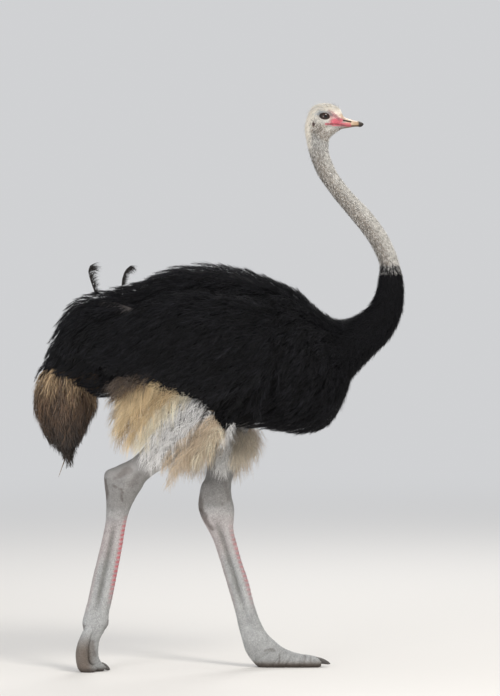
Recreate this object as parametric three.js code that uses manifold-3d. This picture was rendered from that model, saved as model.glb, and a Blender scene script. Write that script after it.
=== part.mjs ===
// A male ostrich walking, life size, in millimetres: +X is forward, +Y its left, +Z up, the floor at 0.
// Each part is a loft: flat oval cross-sections, called stations, with a smooth skin run through them.
// The solids reach out to the tips of the plumage, and the flesh lies inside them.

import * as THREE from "three";
import { mergeVertices } from "three/addons/utils/BufferGeometryUtils.js";
import Module from "manifold-3d";

const wasm = await Module();
wasm.setup();

// Driving dimensions
const GAP = 0.3; // clear space between neighbouring pieces
const BODY_SIDES = 16; // corners round a station of the head, neck and trunk
const LIMB_SIDES = 12; // corners round a station of any other part

const EYE_RADIUS = 22;
const EYE_CENTRE = { x: 395, y: 24, z: 2077 };
const EAR_RADIUS = 6;
const EAR_CENTRE = { x: 354, y: 37, z: 2047 };
const MOUTH = { hingeX: 400, hingeZ: 2044, tipX: 545, tipZ: 2043 };

const RIGHT_LEG_Y = { knee: -150, ankle: -122, foot: -88 };
const LEFT_LEG_Y = { knee: 150, ankle: 112, foot: 56 };
const OUTER_TOE_SPREAD = 50; // from the main toe's middle to the outer toe's

const WING_TOP_Y = 190; // where the folded wing's widest stretch leaves the back
const WING_LOW_Y = 270; // where its lower edge stands off the flank
const PLUME_TOP_Y = 245;
const PLUME_LOW_Y = 212;

// Stations of the head, neck and trunk, from the bill's tip to the rump.
// Each row is: upper or rear outline x, z; lower or front outline x, z; half width.
const BILL = [
  [544, 2049, 540, 2038, 7],
  [532, 2055, 531, 2036, 14],
  [514, 2062, 514, 2035, 20],
  [472, 2071, 466, 2029, 31],
];
const HEAD = [
  [454, 2101, 446, 2021, 34],
  [424, 2119, 429, 2009, 39],
  [386, 2122, 417, 1998, 42],
  [351, 2109, 411, 1987, 39],
  [330, 2068, 409, 1973, 37],
  [323, 2030, 409, 1960, 36],
];
const NECK = [
  [328, 1987, 410, 1948, 36],
  [340, 1931, 415, 1930, 37],
  [364, 1867, 427, 1899, 37],
  [394, 1819, 449, 1856, 37],
  [442, 1755, 502, 1789, 37],
  [495, 1691, 559, 1731, 38],
  [540, 1635, 609, 1669, 40],
  [572, 1586, 647, 1605, 42],
  [598, 1522, 676, 1534, 43],
  [592, 1451, 696, 1447, 48],
  [572, 1387, 696, 1372, 58],
  [544, 1352, 682, 1312, 70],
  [506, 1329, 649, 1245, 86],
];
const TRUNK = [
  [465, 1316, 596, 1187, 105],
  [427, 1318, 536, 1121, 130],
  [386, 1341, 495, 1069, 155],
  [338, 1374, 480, 1020, 180],
  [292, 1417, 446, 952, 205],
  [229, 1455, 397, 893, 225],
  [161, 1481, 304, 879, 240],
  [79, 1511, 184, 896, 250],
  [-15, 1528, 60, 900, 255],
  [-109, 1524, -52, 919, 255],
  [-202, 1504, -176, 956, 245],
  [-296, 1459, -289, 986, 225],
  [-390, 1434, -379, 1009, 200],
  [-476, 1417, -446, 1012, 175],
  [-540, 1391, -503, 1031, 150],
  [-589, 1327, -540, 1042, 125],
  [-626, 1256, -581, 1069, 100],
  [-652, 1189, -615, 1095, 75],
  [-671, 1132, -649, 1114, 40],
];

// The tail's plumes hang from the rump. Each row is: rear edge x, z; front edge x, z; half width.
const TAIL = [
  [-634, 1192, -502, 1117, 60],
  [-675, 1125, -465, 1072, 85],
  [-696, 1065, -452, 1020, 95],
  [-698, 1005, -457, 982, 95],
  [-682, 937, -480, 937, 85],
  [-652, 881, -502, 885, 65],
  [-615, 836, -532, 855, 42],
  [-581, 810, -555, 821, 20],
  [-574, 791, -560, 791, 8],
];
const TAIL_QUILL = [
  [-562, 850, -556, 850, 3],
  [-585, 783, -580, 782, 2.5],
  [-606, 716, -602, 715, 1.5],
];

// The folded wing lies on the flank. Each row is: top edge x, z; lower edge x, z; half thickness;
// and how far out it lies, as a share of the widest stretch.
const WING = [
  [274, 1290, 274, 1215, 6, 0.86],
  [238, 1345, 240, 1140, 20, 0.91],
  [174, 1385, 172, 1075, 36, 0.96],
  [79, 1417, 79, 1024, 50, 1],
  [-34, 1432, -41, 1005, 55, 1.02],
  [-146, 1425, -154, 1020, 55, 1],
  [-259, 1395, -266, 1050, 48, 0.95],
  [-352, 1340, -356, 1080, 34, 0.87],
  [-412, 1280, -412, 1126, 18, 0.8],
  [-440, 1225, -440, 1170, 6, 0.74],
];

// The pale plumes below each wing, from the rear to the front, in the same order.
const RIGHT_PLUMES = [
  [-399, 1050, -405, 914, 10],
  [-369, 1097, -360, 866, 25],
  [-313, 1105, -302, 822, 32],
  [-257, 1095, -253, 736, 35],
  [-190, 1080, -190, 750, 36],
  [-116, 1080, -124, 764, 36],
  [-52, 1048, -60, 772, 32],
  [-8, 1018, -5, 820, 24],
  [14, 958, 20, 876, 10],
];
const LEFT_PLUMES = [
  [-399, 1030, -405, 900, 10],
  [-334, 1062, -334, 847, 25],
  [-259, 1061, -259, 791, 32],
  [-165, 1054, -176, 742, 36],
  [-71, 1027, -79, 735, 36],
  [4, 990, 11, 678, 32],
  [71, 941, 79, 708, 28],
  [124, 904, 124, 812, 18],
  [154, 890, 158, 868, 8],
];

// Legs, from the knee, which the belly hides, to the main toe's tip.
// Each row is: front x, z; rear x, z; half width; how far down the knee-ankle-foot line it lies.
const RIGHT_LEG = [
  [97, 1005, -15, 1125, 80, 0],
  [-7, 897, -127, 1032, 78, 0.2],
  [-131, 814, -225, 915, 60, 0.5],
  [-259, 728, -307, 814, 42, 0.8],
  [-292, 683, -379, 773, 44, 0.9],
  [-315, 646, -424, 750, 46, 1],
  [-330, 616, -428, 706, 43, 1.05],
  [-341, 582, -422, 649, 36, 1.1],
  [-351, 541, -424, 563, 30, 1.2],
  [-366, 451, -444, 467, 28, 1.35],
  [-386, 347, -471, 358, 28, 1.6],
  [-403, 264, -489, 275, 28, 1.8],
  [-414, 212, -501, 228, 30, 1.9],
  [-416, 176, -512, 184, 34, 2],
  [-431, 150, -508, 152, 34, 2],
  [-448, 117, -512, 118, 33, 2],
  [-453, 82, -518, 82, 33, 2],
  [-452, 52, -515, 45, 33, 2],
  [-443, 34, -500, 2, 33, 2],
  [-431, 25, -474, -8, 31, 2],
  [-421, 15, -444, -8, 22, 2],
];
const LEFT_LEG = [
  [154, 1140, -11, 1162, 85, 0],
  [139, 990, -41, 1016, 80, 0.25],
  [94, 843, -41, 866, 60, 0.6],
  [52, 716, -49, 727, 43, 0.9],
  [45, 678, -67, 686, 45, 1],
  [47, 641, -76, 644, 46, 1],
  [56, 599, -79, 603, 44, 1.05],
  [56, 566, -69, 566, 38, 1.1],
  [52, 527, -47, 524, 31, 1.2],
  [58, 490, -22, 475, 28, 1.3],
  [82, 403, 8, 385, 28, 1.5],
  [109, 321, 34, 298, 28, 1.65],
  [131, 235, 58, 216, 28, 1.8],
  [154, 171, 75, 145, 30, 1.9],
  [180, 126, 88, 98, 34, 2],
  [210, 97, 107, 47, 37, 2],
  [240, 73, 160, -8, 38, 2],
  [274, 58, 229, -8, 36, 2],
  [311, 48, 296, -8, 34, 2],
  [349, 43, 345, -8, 32, 2],
  [371, 35, 371, -4, 27, 2],
  [386, 25, 384, 4, 16, 2],
];
// The shorter outer toes. Each row ends with how much of the spread has been reached.
const RIGHT_OUTER_TOE = [
  [-462, 170, -510, 152, 16, 0.35],
  [-487, 107, -530, 104, 19, 0.8],
  [-491, 59, -536, 59, 19, 0.95],
  [-484, 34, -527, 13, 20, 1],
  [-468, 24, -503, -6, 19, 1],
  [-455, 13, -476, -6, 12, 1],
];
const LEFT_OUTER_TOE = [
  [170, 84, 128, 30, 18, 0.3],
  [204, 56, 178, -6, 22, 0.9],
  [240, 44, 228, -7, 22, 1.1],
  [274, 38, 268, -6, 20, 1.25],
  [298, 26, 294, -2, 13, 1.35],
];
const RIGHT_CLAW = [
  [-438, 34, -441, 12, 13],
  [-421, 24, -426, 4, 11],
  [-407, 8, -411, 1, 4],
];
const LEFT_CLAW = [
  [358, 41, 360, 17, 15],
  [390, 33, 388, 12, 12],
  [420, 16, 418, 9, 3],
];

// Two loose feathers stand up from the rump. Each row is: front edge x, z; rear edge x, z; half width.
const REAR_BACK_FEATHER = [
  [-463, 1408, -469, 1408, 2.5],
  [-464, 1462, -484, 1464, 2.5],
  [-457, 1494, -492, 1498, 2.5],
  [-450, 1517, -486, 1522, 2],
];
const FRONT_BACK_FEATHER = [
  [-364, 1428, -370, 1428, 2.5],
  [-350, 1476, -366, 1480, 2.5],
  [-334, 1502, -350, 1520, 2.5],
  [-317, 1508, -326, 1524, 2],
];

const BLACK_PLUMAGE = new THREE.MeshStandardMaterial({ color: 0x17171a, roughness: 0.8 });
const PALE_PLUMAGE = new THREE.MeshStandardMaterial({ color: 0xd9caa5, roughness: 0.85 });
const BROWN_PLUMAGE = new THREE.MeshStandardMaterial({ color: 0x6b5136, roughness: 0.85 });
const NECK_DOWN = new THREE.MeshStandardMaterial({ color: 0xa19c94, roughness: 0.9 });
const LEG_SKIN = new THREE.MeshStandardMaterial({ color: 0x8f8c87, roughness: 0.7 });
const BILL_HORN = new THREE.MeshStandardMaterial({ color: 0xc9a489, roughness: 0.45 });
const CLAW_HORN = new THREE.MeshStandardMaterial({ color: 0x55504a, roughness: 0.5 });
const EYE_GLOSS = new THREE.MeshStandardMaterial({ color: 0x1c120b, roughness: 0.1 });

const SIDE_AXIS = new THREE.Vector3(0, 1, 0);

/** A loft through stations {a, b, half}: a and b are opposite outline points, half the width across. */
function makeLoft(stations) {
  const through = (pick) => new THREE.CatmullRomCurve3(stations.map(pick), false, "catmullrom", 0.5);
  return {
    last: stations.length - 1,
    a: through((s) => s.a),
    b: through((s) => s.b),
    half: through((s) => new THREE.Vector3(s.half, 0, 0)),
  };
}

/** Stations from rows, where topY and lowY turn a row into the sideways places of its two points. */
function stationsOf(rows, topY, lowY = topY) {
  return rows.map((row) => {
    const [ax, az, bx, bz, half] = row;
    return {
      a: new THREE.Vector3(ax, topY(row), az),
      b: new THREE.Vector3(bx, lowY(row), bz),
      half,
    };
  });
}

/** The ring at place t, counted in stations, moved along its own axis and grown by the given amounts. */
function ringAt(loft, t, sides, shift, grow) {
  const a = loft.a.getPoint(t / loft.last);
  const b = loft.b.getPoint(t / loft.last);
  const half = loft.half.getPoint(t / loft.last).x + grow;
  const centre = a.clone().lerp(b, 0.5);
  const long = a.clone().sub(centre);
  const up = long.clone().normalize();
  const wide = SIDE_AXIS.clone().addScaledVector(up, -up.dot(SIDE_AXIS)).setLength(half);
  long.setLength(long.length() + grow);
  const onward = up.clone().cross(wide).normalize();
  centre.addScaledVector(onward, shift);
  const points = [];
  for (let i = 0; i < sides; i++) {
    const angle = (2 * Math.PI * i) / sides;
    const point = centre.clone().addScaledVector(long, Math.cos(angle));
    points.push(point.addScaledVector(wide, Math.sin(angle)));
  }
  return points;
}

/** A solid skinned over rings that all have the same number of corners. */
function skinRings(rings) {
  const sides = rings[0].length;
  const top = (rings.length - 1) * sides;
  const faces = [];
  for (let low = 0; low < top; low += sides) {
    for (let i = 0; i < sides; i++) {
      const j = (i + 1) % sides;
      faces.push(low + i, low + j, low + sides + j);
      faces.push(low + i, low + sides + j, low + sides + i);
    }
  }
  for (let i = 1; i < sides - 1; i++) {
    faces.push(0, i + 1, i);
    faces.push(top, top + i, top + i + 1);
  }
  return solidFrom(rings.flat(), faces);
}

/** A solid from points and faces, with the faces turned to point out. */
function solidFrom(points, faces) {
  let volume = 0;
  for (let i = 0; i < faces.length; i += 3) {
    const [p, q, r] = [points[faces[i]], points[faces[i + 1]], points[faces[i + 2]]];
    volume += p.dot(q.clone().cross(r));
  }
  const triVerts = Uint32Array.from(volume > 0 ? faces : faces.toReversed());
  const vertProperties = Float32Array.from(points.flatMap((p) => p.toArray()));
  return new wasm.Manifold(new wasm.Mesh({ numProp: 3, vertProperties, triVerts }));
}

/** The stretch of a loft between two places, with steps rings a station and half a gap at each end. */
function stretch(loft, from, to, sides, steps, grow = 0) {
  const start = ringAt(loft, from, sides, 0, 0)[0];
  const onward = ringAt(loft, from, sides, 1, 0)[0].sub(start);
  const ahead = loft.a.getPoint((from + 0.1) / loft.last).sub(loft.a.getPoint(from / loft.last));
  const inward = (Math.sign(onward.dot(ahead)) * GAP) / 2;
  const rings = [ringAt(loft, from, sides, inward - grow * Math.sign(inward), grow)];
  const first = Math.floor(from * steps) + 1;
  for (let step = first; step < to * steps; step++) {
    rings.push(ringAt(loft, step / steps, sides, 0, grow));
  }
  rings.push(ringAt(loft, to, sides, grow * Math.sign(inward) - inward, grow));
  return skinRings(rings);
}

/** The solid of a three.js geometry. */
function solidOfGeometry(geometry) {
  geometry.deleteAttribute("normal");
  geometry.deleteAttribute("uv");
  const merged = mergeVertices(geometry);
  const vertProperties = Float32Array.from(merged.attributes.position.array);
  const triVerts = Uint32Array.from(merged.index.array);
  return new wasm.Manifold(new wasm.Mesh({ numProp: 3, vertProperties, triVerts }));
}

function block(width, depth, height, x, y, z, tilt = 0) {
  const box = new THREE.BoxGeometry(width, depth, height);
  return solidOfGeometry(box.rotateY(tilt).translate(x, y, z));
}

function ball(radius, { x, y, z }, side, segments) {
  const sphere = new THREE.SphereGeometry(radius, segments, Math.round(0.65 * segments));
  return solidOfGeometry(sphere.translate(x, side * y, z));
}

/** The largest of the separate lumps that a cut may leave. */
function largest(solid) {
  return solid.decompose().sort((p, q) => q.volume() - p.volume())[0];
}

const ostrich = new THREE.Group();

function addPart(name, solid, material) {
  const mesh = solid.getMesh();
  const geometry = new THREE.BufferGeometry();
  geometry.setAttribute("position", new THREE.BufferAttribute(mesh.vertProperties, 3));
  geometry.setIndex(new THREE.BufferAttribute(mesh.triVerts, 1));
  geometry.computeVertexNormals();
  const part = new THREE.Mesh(geometry, material);
  part.name = name;
  ostrich.add(part);
}

// Head, neck and trunk: one loft, parted at the bill's base, below the head, along the neck and at the breast
const bodyLoft = makeLoft(stationsOf([...BILL, ...HEAD, ...NECK, ...TRUNK], () => 0));
const headStart = BILL.length - 0.6;
const neckStart = BILL.length + HEAD.length;
const neckMiddle = neckStart + 4;
const blackNeck = neckStart + 8;
const trunkStart = neckStart + NECK.length;
const bodyLength = (from, to, grow) => stretch(bodyLoft, from, to, BODY_SIDES, 2, grow);

function buildBill() {
  const whole = bodyLength(0, headStart);
  const slope = Math.atan2(MOUTH.hingeZ - MOUTH.tipZ, MOUTH.tipX - MOUTH.hingeX);
  const halfGap = GAP / 2;
  const keepAbove = block(400, 200, 200, MOUTH.tipX, 0, MOUTH.tipZ - 100 + halfGap, slope);
  const keepBelow = block(400, 200, 200, MOUTH.tipX, 0, MOUTH.tipZ + 100 - halfGap, slope);
  addPart("bill_upper", whole.subtract(keepAbove), BILL_HORN);
  addPart("bill_lower", whole.subtract(keepBelow), BILL_HORN);
}

function buildHead() {
  let head = bodyLength(headStart, neckStart);
  for (const [side, name] of [[1, "eye_left"], [-1, "eye_right"]]) {
    head = head.subtract(ball(EYE_RADIUS + GAP, EYE_CENTRE, side, 16));
    head = head.subtract(ball(EAR_RADIUS, EAR_CENTRE, side, 8));
    addPart(name, ball(EYE_RADIUS, EYE_CENTRE, side, 16), EYE_GLOSS);
  }
  addPart("head", head, NECK_DOWN);
}

function buildNeck() {
  addPart("neck_upper", bodyLength(neckStart, neckMiddle), NECK_DOWN);
  addPart("neck_middle", bodyLength(neckMiddle, blackNeck), NECK_DOWN);
  addPart("neck_lower", bodyLength(blackNeck, trunkStart), BLACK_PLUMAGE);
}

/** A loft that isn't parted, as one solid. */
function wholeLoft(rows, topY, lowY, grow = 0) {
  const loft = makeLoft(stationsOf(rows, topY, lowY));
  return stretch(loft, 0, loft.last, LIMB_SIDES, 1, grow);
}

// Legs: one loft each, from the knee to the main toe's tip
function legY({ knee, ankle, foot }) {
  return ([, , , , , down]) => {
    return down < 1
      ? THREE.MathUtils.lerp(knee, ankle, down)
      : THREE.MathUtils.lerp(ankle, foot, down - 1);
  };
}

const underFloor = block(3000, 2000, 200, 0, 0, -100);

function buildLeg(side, rows, places, parting, toeRows, clawRows) {
  const loft = makeLoft(stationsOf(rows, legY(places)));
  const outward = Math.sign(places.foot) * OUTER_TOE_SPREAD;
  const toeY = ([, , , , , spread]) => places.foot + outward * spread;
  const { ankle, toes } = parting;
  const legLength = (from, to, grow) => stretch(loft, from, to, LIMB_SIDES, 2, grow);
  const shank = legLength(0, ankle).subtract(grownTrunk);
  const claw = wholeLoft(clawRows, () => places.foot);
  const grownClaw = wholeLoft(clawRows, () => places.foot, undefined, GAP);
  const toe = legLength(toes, loft.last).subtract(underFloor).subtract(grownClaw);
  const wholeLeg = legLength(0, loft.last, GAP);
  const outerToe = wholeLoft(toeRows, toeY).subtract(underFloor).subtract(wholeLeg);
  addPart(`shank_${side}`, largest(shank), LEG_SKIN);
  addPart(`tarsus_${side}`, legLength(ankle, toes), LEG_SKIN);
  addPart(`toe_main_${side}`, largest(toe), LEG_SKIN);
  addPart(`toe_outer_${side}`, largest(outerToe), LEG_SKIN);
  addPart(`claw_${side}`, claw, CLAW_HORN);
  return legLength(0, ankle, GAP);
}

// Wings: the folded black coverts on the flank, and the pale plumes that hang out below them
function buildWing(side, sign, plumeRows, grownShank) {
  const wingTop = ([, , , , , out]) => sign * WING_TOP_Y * out;
  const wingLow = ([, , , , , out]) => sign * WING_LOW_Y * out;
  const wing = wholeLoft(WING, wingTop, wingLow).subtract(grownTrunk).subtract(grownShank);
  const grownWing = wholeLoft(WING, wingTop, wingLow, GAP);
  const plumes = wholeLoft(plumeRows, () => sign * PLUME_TOP_Y, () => sign * PLUME_LOW_Y);
  const freePlumes = plumes.subtract(grownTrunk).subtract(grownWing).subtract(grownShank);
  addPart(`wing_${side}`, largest(wing), BLACK_PLUMAGE);
  addPart(`wing_plumes_${side}`, largest(freePlumes), PALE_PLUMAGE);
}

function buildTail() {
  const tail = wholeLoft(TAIL, () => 0).subtract(grownTrunk);
  const grownTail = wholeLoft(TAIL, () => 0, undefined, GAP);
  const quill = wholeLoft(TAIL_QUILL, () => 0).subtract(grownTail);
  addPart("tail", largest(tail), BROWN_PLUMAGE);
  addPart("tail_quill", largest(quill), BROWN_PLUMAGE);
}

function buildBackFeathers() {
  const rear = wholeLoft(REAR_BACK_FEATHER, () => 0).subtract(grownTrunk);
  const front = wholeLoft(FRONT_BACK_FEATHER, () => 0).subtract(grownTrunk);
  addPart("back_feather_rear", largest(rear), BROWN_PLUMAGE);
  addPart("back_feather_front", largest(front), BROWN_PLUMAGE);
}

const grownTrunk = bodyLength(trunkStart, bodyLoft.last, GAP);
buildBill();
buildHead();
buildNeck();
addPart("trunk", bodyLength(trunkStart, bodyLoft.last), BLACK_PLUMAGE);
const rightParting = { ankle: 3.4, toes: 13 };
const leftParting = { ankle: 3, toes: 14 };
const grownRightShank = buildLeg("right", RIGHT_LEG, RIGHT_LEG_Y, rightParting, RIGHT_OUTER_TOE, RIGHT_CLAW);
const grownLeftShank = buildLeg("left", LEFT_LEG, LEFT_LEG_Y, leftParting, LEFT_OUTER_TOE, LEFT_CLAW);
buildWing("right", -1, RIGHT_PLUMES, grownRightShank);
buildWing("left", 1, LEFT_PLUMES, grownLeftShank);
buildTail();
buildBackFeathers();

export default ostrich;
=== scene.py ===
"""The looks of a male ostrich, walking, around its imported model: skin, bill, eyes, claws, plumes and coat.

Everything is in metres in the model's own frame: +X is forward, +Y the bird's left, +Z up, the floor at 0.
The rows below are in millimetres and repeat the model's own stations.
"""

import math

import bpy
import numpy as np
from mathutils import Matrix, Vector
from mathutils.kdtree import KDTree


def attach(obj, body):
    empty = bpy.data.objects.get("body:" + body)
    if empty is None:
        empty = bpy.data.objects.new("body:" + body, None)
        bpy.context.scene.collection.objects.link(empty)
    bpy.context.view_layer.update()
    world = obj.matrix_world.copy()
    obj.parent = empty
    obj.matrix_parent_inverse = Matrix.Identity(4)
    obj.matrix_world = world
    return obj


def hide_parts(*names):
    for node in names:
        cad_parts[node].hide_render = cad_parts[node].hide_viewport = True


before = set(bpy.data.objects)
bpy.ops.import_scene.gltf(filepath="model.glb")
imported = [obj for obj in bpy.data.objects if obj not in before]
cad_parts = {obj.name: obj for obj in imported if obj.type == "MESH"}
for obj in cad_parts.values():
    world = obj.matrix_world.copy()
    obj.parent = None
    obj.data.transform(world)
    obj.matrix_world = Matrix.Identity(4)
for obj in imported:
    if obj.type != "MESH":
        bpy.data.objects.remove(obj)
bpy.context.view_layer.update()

MM = 0.001

# ---------------------------------------------------------------- stations
# Body rows: upper or rear outline x, z; lower or front outline x, z; half width.
BILL = [
    (544, 2049, 540, 2038, 7),
    (532, 2055, 531, 2036, 14),
    (514, 2062, 514, 2035, 20),
    (472, 2071, 466, 2029, 31),
]
HEAD = [
    (454, 2101, 446, 2021, 34),
    (424, 2119, 429, 2009, 39),
    (386, 2122, 417, 1998, 42),
    (351, 2109, 411, 1987, 39),
    (330, 2068, 409, 1973, 37),
    (323, 2030, 409, 1960, 36),
]
NECK = [
    (328, 1987, 410, 1948, 36),
    (340, 1931, 415, 1930, 37),
    (364, 1867, 427, 1899, 37),
    (394, 1819, 449, 1856, 37),
    (442, 1755, 502, 1789, 37),
    (495, 1691, 559, 1731, 38),
    (540, 1635, 609, 1669, 40),
    (572, 1586, 647, 1605, 42),
    (598, 1522, 676, 1534, 43),
    (592, 1451, 696, 1447, 48),
    (572, 1387, 696, 1372, 58),
    (544, 1352, 682, 1312, 70),
    (506, 1329, 649, 1245, 86),
]
TRUNK = [
    (465, 1316, 596, 1187, 105),
    (427, 1318, 536, 1121, 130),
    (386, 1341, 495, 1069, 155),
    (338, 1374, 480, 1020, 180),
    (292, 1417, 446, 952, 205),
    (229, 1455, 397, 893, 225),
    (161, 1481, 304, 879, 240),
    (79, 1511, 184, 896, 250),
    (-15, 1528, 60, 900, 255),
    (-109, 1524, -52, 919, 255),
    (-202, 1504, -176, 956, 245),
    (-296, 1459, -289, 986, 225),
    (-390, 1434, -379, 1009, 200),
    (-476, 1417, -446, 1012, 175),
    (-540, 1391, -503, 1031, 150),
    (-589, 1327, -540, 1042, 125),
    (-626, 1256, -581, 1069, 100),
    (-652, 1189, -615, 1095, 75),
    (-671, 1132, -649, 1114, 40),
]
BODY = BILL + HEAD + NECK + TRUNK
HEAD_START = len(BILL) - 0.6
NECK_START = len(BILL) + len(HEAD)
BLACK_START = NECK_START + 8
TRUNK_START = NECK_START + len(NECK)
BODY_END = len(BODY) - 1

# Tail rows: rear edge x, z; front edge x, z; half width.
TAIL = [
    (-634, 1192, -502, 1117, 60),
    (-675, 1125, -465, 1072, 85),
    (-696, 1065, -452, 1020, 95),
    (-698, 1005, -457, 982, 95),
    (-682, 937, -480, 937, 85),
    (-652, 881, -502, 885, 65),
    (-615, 836, -532, 855, 42),
    (-581, 810, -555, 821, 20),
    (-574, 791, -560, 791, 8),
]
# Wing rows: top edge x, z; lower edge x, z; half thickness; share of how far out the widest stretch lies.
WING_TOP_Y = 190
WING_LOW_Y = 270
WING = [
    (274, 1290, 274, 1215, 6, 0.86),
    (238, 1345, 240, 1140, 20, 0.91),
    (174, 1385, 172, 1075, 36, 0.96),
    (79, 1417, 79, 1024, 50, 1),
    (-34, 1432, -41, 1005, 55, 1.02),
    (-146, 1425, -154, 1020, 55, 1),
    (-259, 1395, -266, 1050, 48, 0.95),
    (-352, 1340, -356, 1080, 34, 0.87),
    (-412, 1280, -412, 1126, 18, 0.8),
    (-440, 1225, -440, 1170, 6, 0.74),
]
# Leg rows: front x, z; rear x, z; half width; how far down the knee-ankle-foot line it lies.
LEG_Y = {"right": (-150, -122, -88), "left": (150, 112, 56)}
OUTER_TOE_SPREAD = 50
LEG = {
    "right": [
        (97, 1005, -15, 1125, 80, 0),
        (-7, 897, -127, 1032, 78, 0.2),
        (-131, 814, -225, 915, 60, 0.5),
        (-259, 728, -307, 814, 42, 0.8),
        (-292, 683, -379, 773, 44, 0.9),
        (-315, 646, -424, 750, 46, 1),
        (-330, 616, -428, 706, 43, 1.05),
        (-341, 582, -422, 649, 36, 1.1),
        (-351, 541, -424, 563, 30, 1.2),
        (-366, 451, -444, 467, 28, 1.35),
        (-386, 347, -471, 358, 28, 1.6),
        (-403, 264, -489, 275, 28, 1.8),
        (-414, 212, -501, 228, 30, 1.9),
        (-416, 176, -512, 184, 34, 2),
        (-431, 150, -508, 152, 34, 2),
        (-448, 117, -512, 118, 33, 2),
        (-453, 82, -518, 82, 33, 2),
        (-452, 52, -515, 45, 33, 2),
        (-443, 34, -500, 2, 33, 2),
        (-431, 25, -474, -8, 31, 2),
        (-421, 15, -444, -8, 22, 2),
    ],
    "left": [
        (154, 1140, -11, 1162, 85, 0),
        (139, 990, -41, 1016, 80, 0.25),
        (94, 843, -41, 866, 60, 0.6),
        (52, 716, -49, 727, 43, 0.9),
        (45, 678, -67, 686, 45, 1),
        (47, 641, -76, 644, 46, 1),
        (56, 599, -79, 603, 44, 1.05),
        (56, 566, -69, 566, 38, 1.1),
        (52, 527, -47, 524, 31, 1.2),
        (58, 490, -22, 475, 28, 1.3),
        (82, 403, 8, 385, 28, 1.5),
        (109, 321, 34, 298, 28, 1.65),
        (131, 235, 58, 216, 28, 1.8),
        (154, 171, 75, 145, 30, 1.9),
        (180, 126, 88, 98, 34, 2),
        (210, 97, 107, 47, 37, 2),
        (240, 73, 160, -8, 38, 2),
        (274, 58, 229, -8, 36, 2),
        (311, 48, 296, -8, 34, 2),
        (349, 43, 345, -8, 32, 2),
        (371, 35, 371, -4, 27, 2),
        (386, 25, 384, 4, 16, 2),
    ],
}
OUTER_TOE = {
    "right": [
        (-462, 170, -510, 152, 16, 0.35),
        (-487, 107, -530, 104, 19, 0.8),
        (-491, 59, -536, 59, 19, 0.95),
        (-484, 34, -527, 13, 20, 1),
        (-468, 24, -503, -6, 19, 1),
        (-455, 13, -476, -6, 12, 1),
    ],
    "left": [
        (170, 84, 128, 30, 18, 0.3),
        (204, 56, 178, -6, 22, 0.9),
        (240, 44, 228, -7, 22, 1.1),
        (274, 38, 268, -6, 20, 1.25),
        (298, 26, 294, -2, 13, 1.35),
    ],
}
CLAW = {
    "right": [(-438, 34, -441, 12, 13), (-421, 24, -426, 4, 11), (-407, 8, -411, 1, 4)],
    "left": [(358, 41, 360, 17, 15), (390, 33, 388, 12, 12), (420, 16, 418, 9, 3)],
}
SIDES = {"right": -1, "left": 1}
EYE_CENTRE = np.array([0.395, 0.024, 2.077])
EYE_RADIUS = 0.022
EYE_TILT = -6
EYE_LONG = 0.0184
EYE_TALL = {"upper": 0.0126, "lower": 0.0114}
LID_RADIUS = {"upper": 0.0019, "lower": 0.0015}


# ---------------------------------------------------------------- lofts
def spline(values, t):
    """Rows of values blended smoothly at the places t, counted in rows."""
    values = np.vstack([2 * values[0] - values[1], values, 2 * values[-1] - values[-2]])
    i = np.clip(np.floor(t).astype(int), 0, len(values) - 4)
    f = (t - i)[:, None]
    p0, p1, p2, p3 = (values[i + k] for k in range(4))
    start, end = (p2 - p0) / 2, (p3 - p1) / 2
    return (
        (2 * f**3 - 3 * f**2 + 1) * p1
        + (f**3 - 2 * f**2 + f) * start
        + (3 * f**2 - 2 * f**3) * p2
        + (f**3 - f**2) * end
    )


def unit(v):
    return v / np.maximum(np.linalg.norm(v, axis=-1, keepdims=True), 1e-12)


def dot(a, b):
    return np.einsum("ij,ij->i", a, b)


def circle(count):
    """Evenly spread angles round a ring."""
    return np.linspace(0, 2 * math.pi, count, endpoint=False)


def ramp(x, low, high):
    """0 below low, 1 above high, and a smooth step between."""
    f = np.clip((x - low) / (high - low), 0, 1)
    return f * f * (3 - 2 * f)


def bell(x, middle, width):
    """1 at the middle, falling smoothly on both sides, to about a third a width away."""
    return np.exp(-(((x - middle) / width) ** 2))


class Loft:
    """A smooth tube through flat oval stations."""

    def __init__(self, rows, upper_y, lower_y=None):
        rows = np.array([row[:5] for row in rows], float)
        upper_y = np.broadcast_to(np.asarray(upper_y, float), len(rows))
        lower_y = upper_y if lower_y is None else np.broadcast_to(lower_y, len(rows))
        ax, az, bx, bz, half = rows.T
        self.rows = np.column_stack([ax, upper_y, az, bx, lower_y, bz, half]) * MM
        self.last = len(rows) - 1

    def points(self, t, angle, inset=0.0):
        """A grid of points, a ring for each t, pulled in by inset. Rings run from the upper outline to +Y."""
        at = spline(self.rows, np.asarray(t, float))
        a, b, half = at[:, 0:3], at[:, 3:6], at[:, 6]
        centre = (a + b) / 2
        long = a - centre
        reach = np.linalg.norm(long, axis=1)
        up = unit(long)
        wide = unit(np.array([0.0, 1.0, 0.0]) - up * up[:, 1:2])
        inset = np.broadcast_to(inset, reach.shape)
        reach = np.maximum(reach - inset, 0.25 * reach)
        half = np.maximum(half - inset, 0.25 * half)
        cos, sin = np.cos(angle), np.sin(angle)
        along = up[:, None, :] * (reach[:, None] * cos)[:, :, None]
        across = wide[:, None, :] * (half[:, None] * sin)[:, :, None]
        return centre[:, None, :] + along + across


def leg_y(side, share):
    """The sideways place of each row of a leg, from its share of the knee-ankle-foot line."""
    return np.interp(share, [0, 1, 2], LEG_Y[side])


def limb(rows, side):
    """A loft along a leg, whose rows also say how far down the knee-ankle-foot line they lie."""
    return Loft(rows, leg_y(side, [row[5] for row in rows]))


def outer_toe(side):
    """The outer toe's loft, spread outwards from the foot's line."""
    spread = np.array([row[5] for row in OUTER_TOE[side]]) * OUTER_TOE_SPREAD * SIDES[side]
    return Loft(OUTER_TOE[side], LEG_Y[side][2] + spread)


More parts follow.
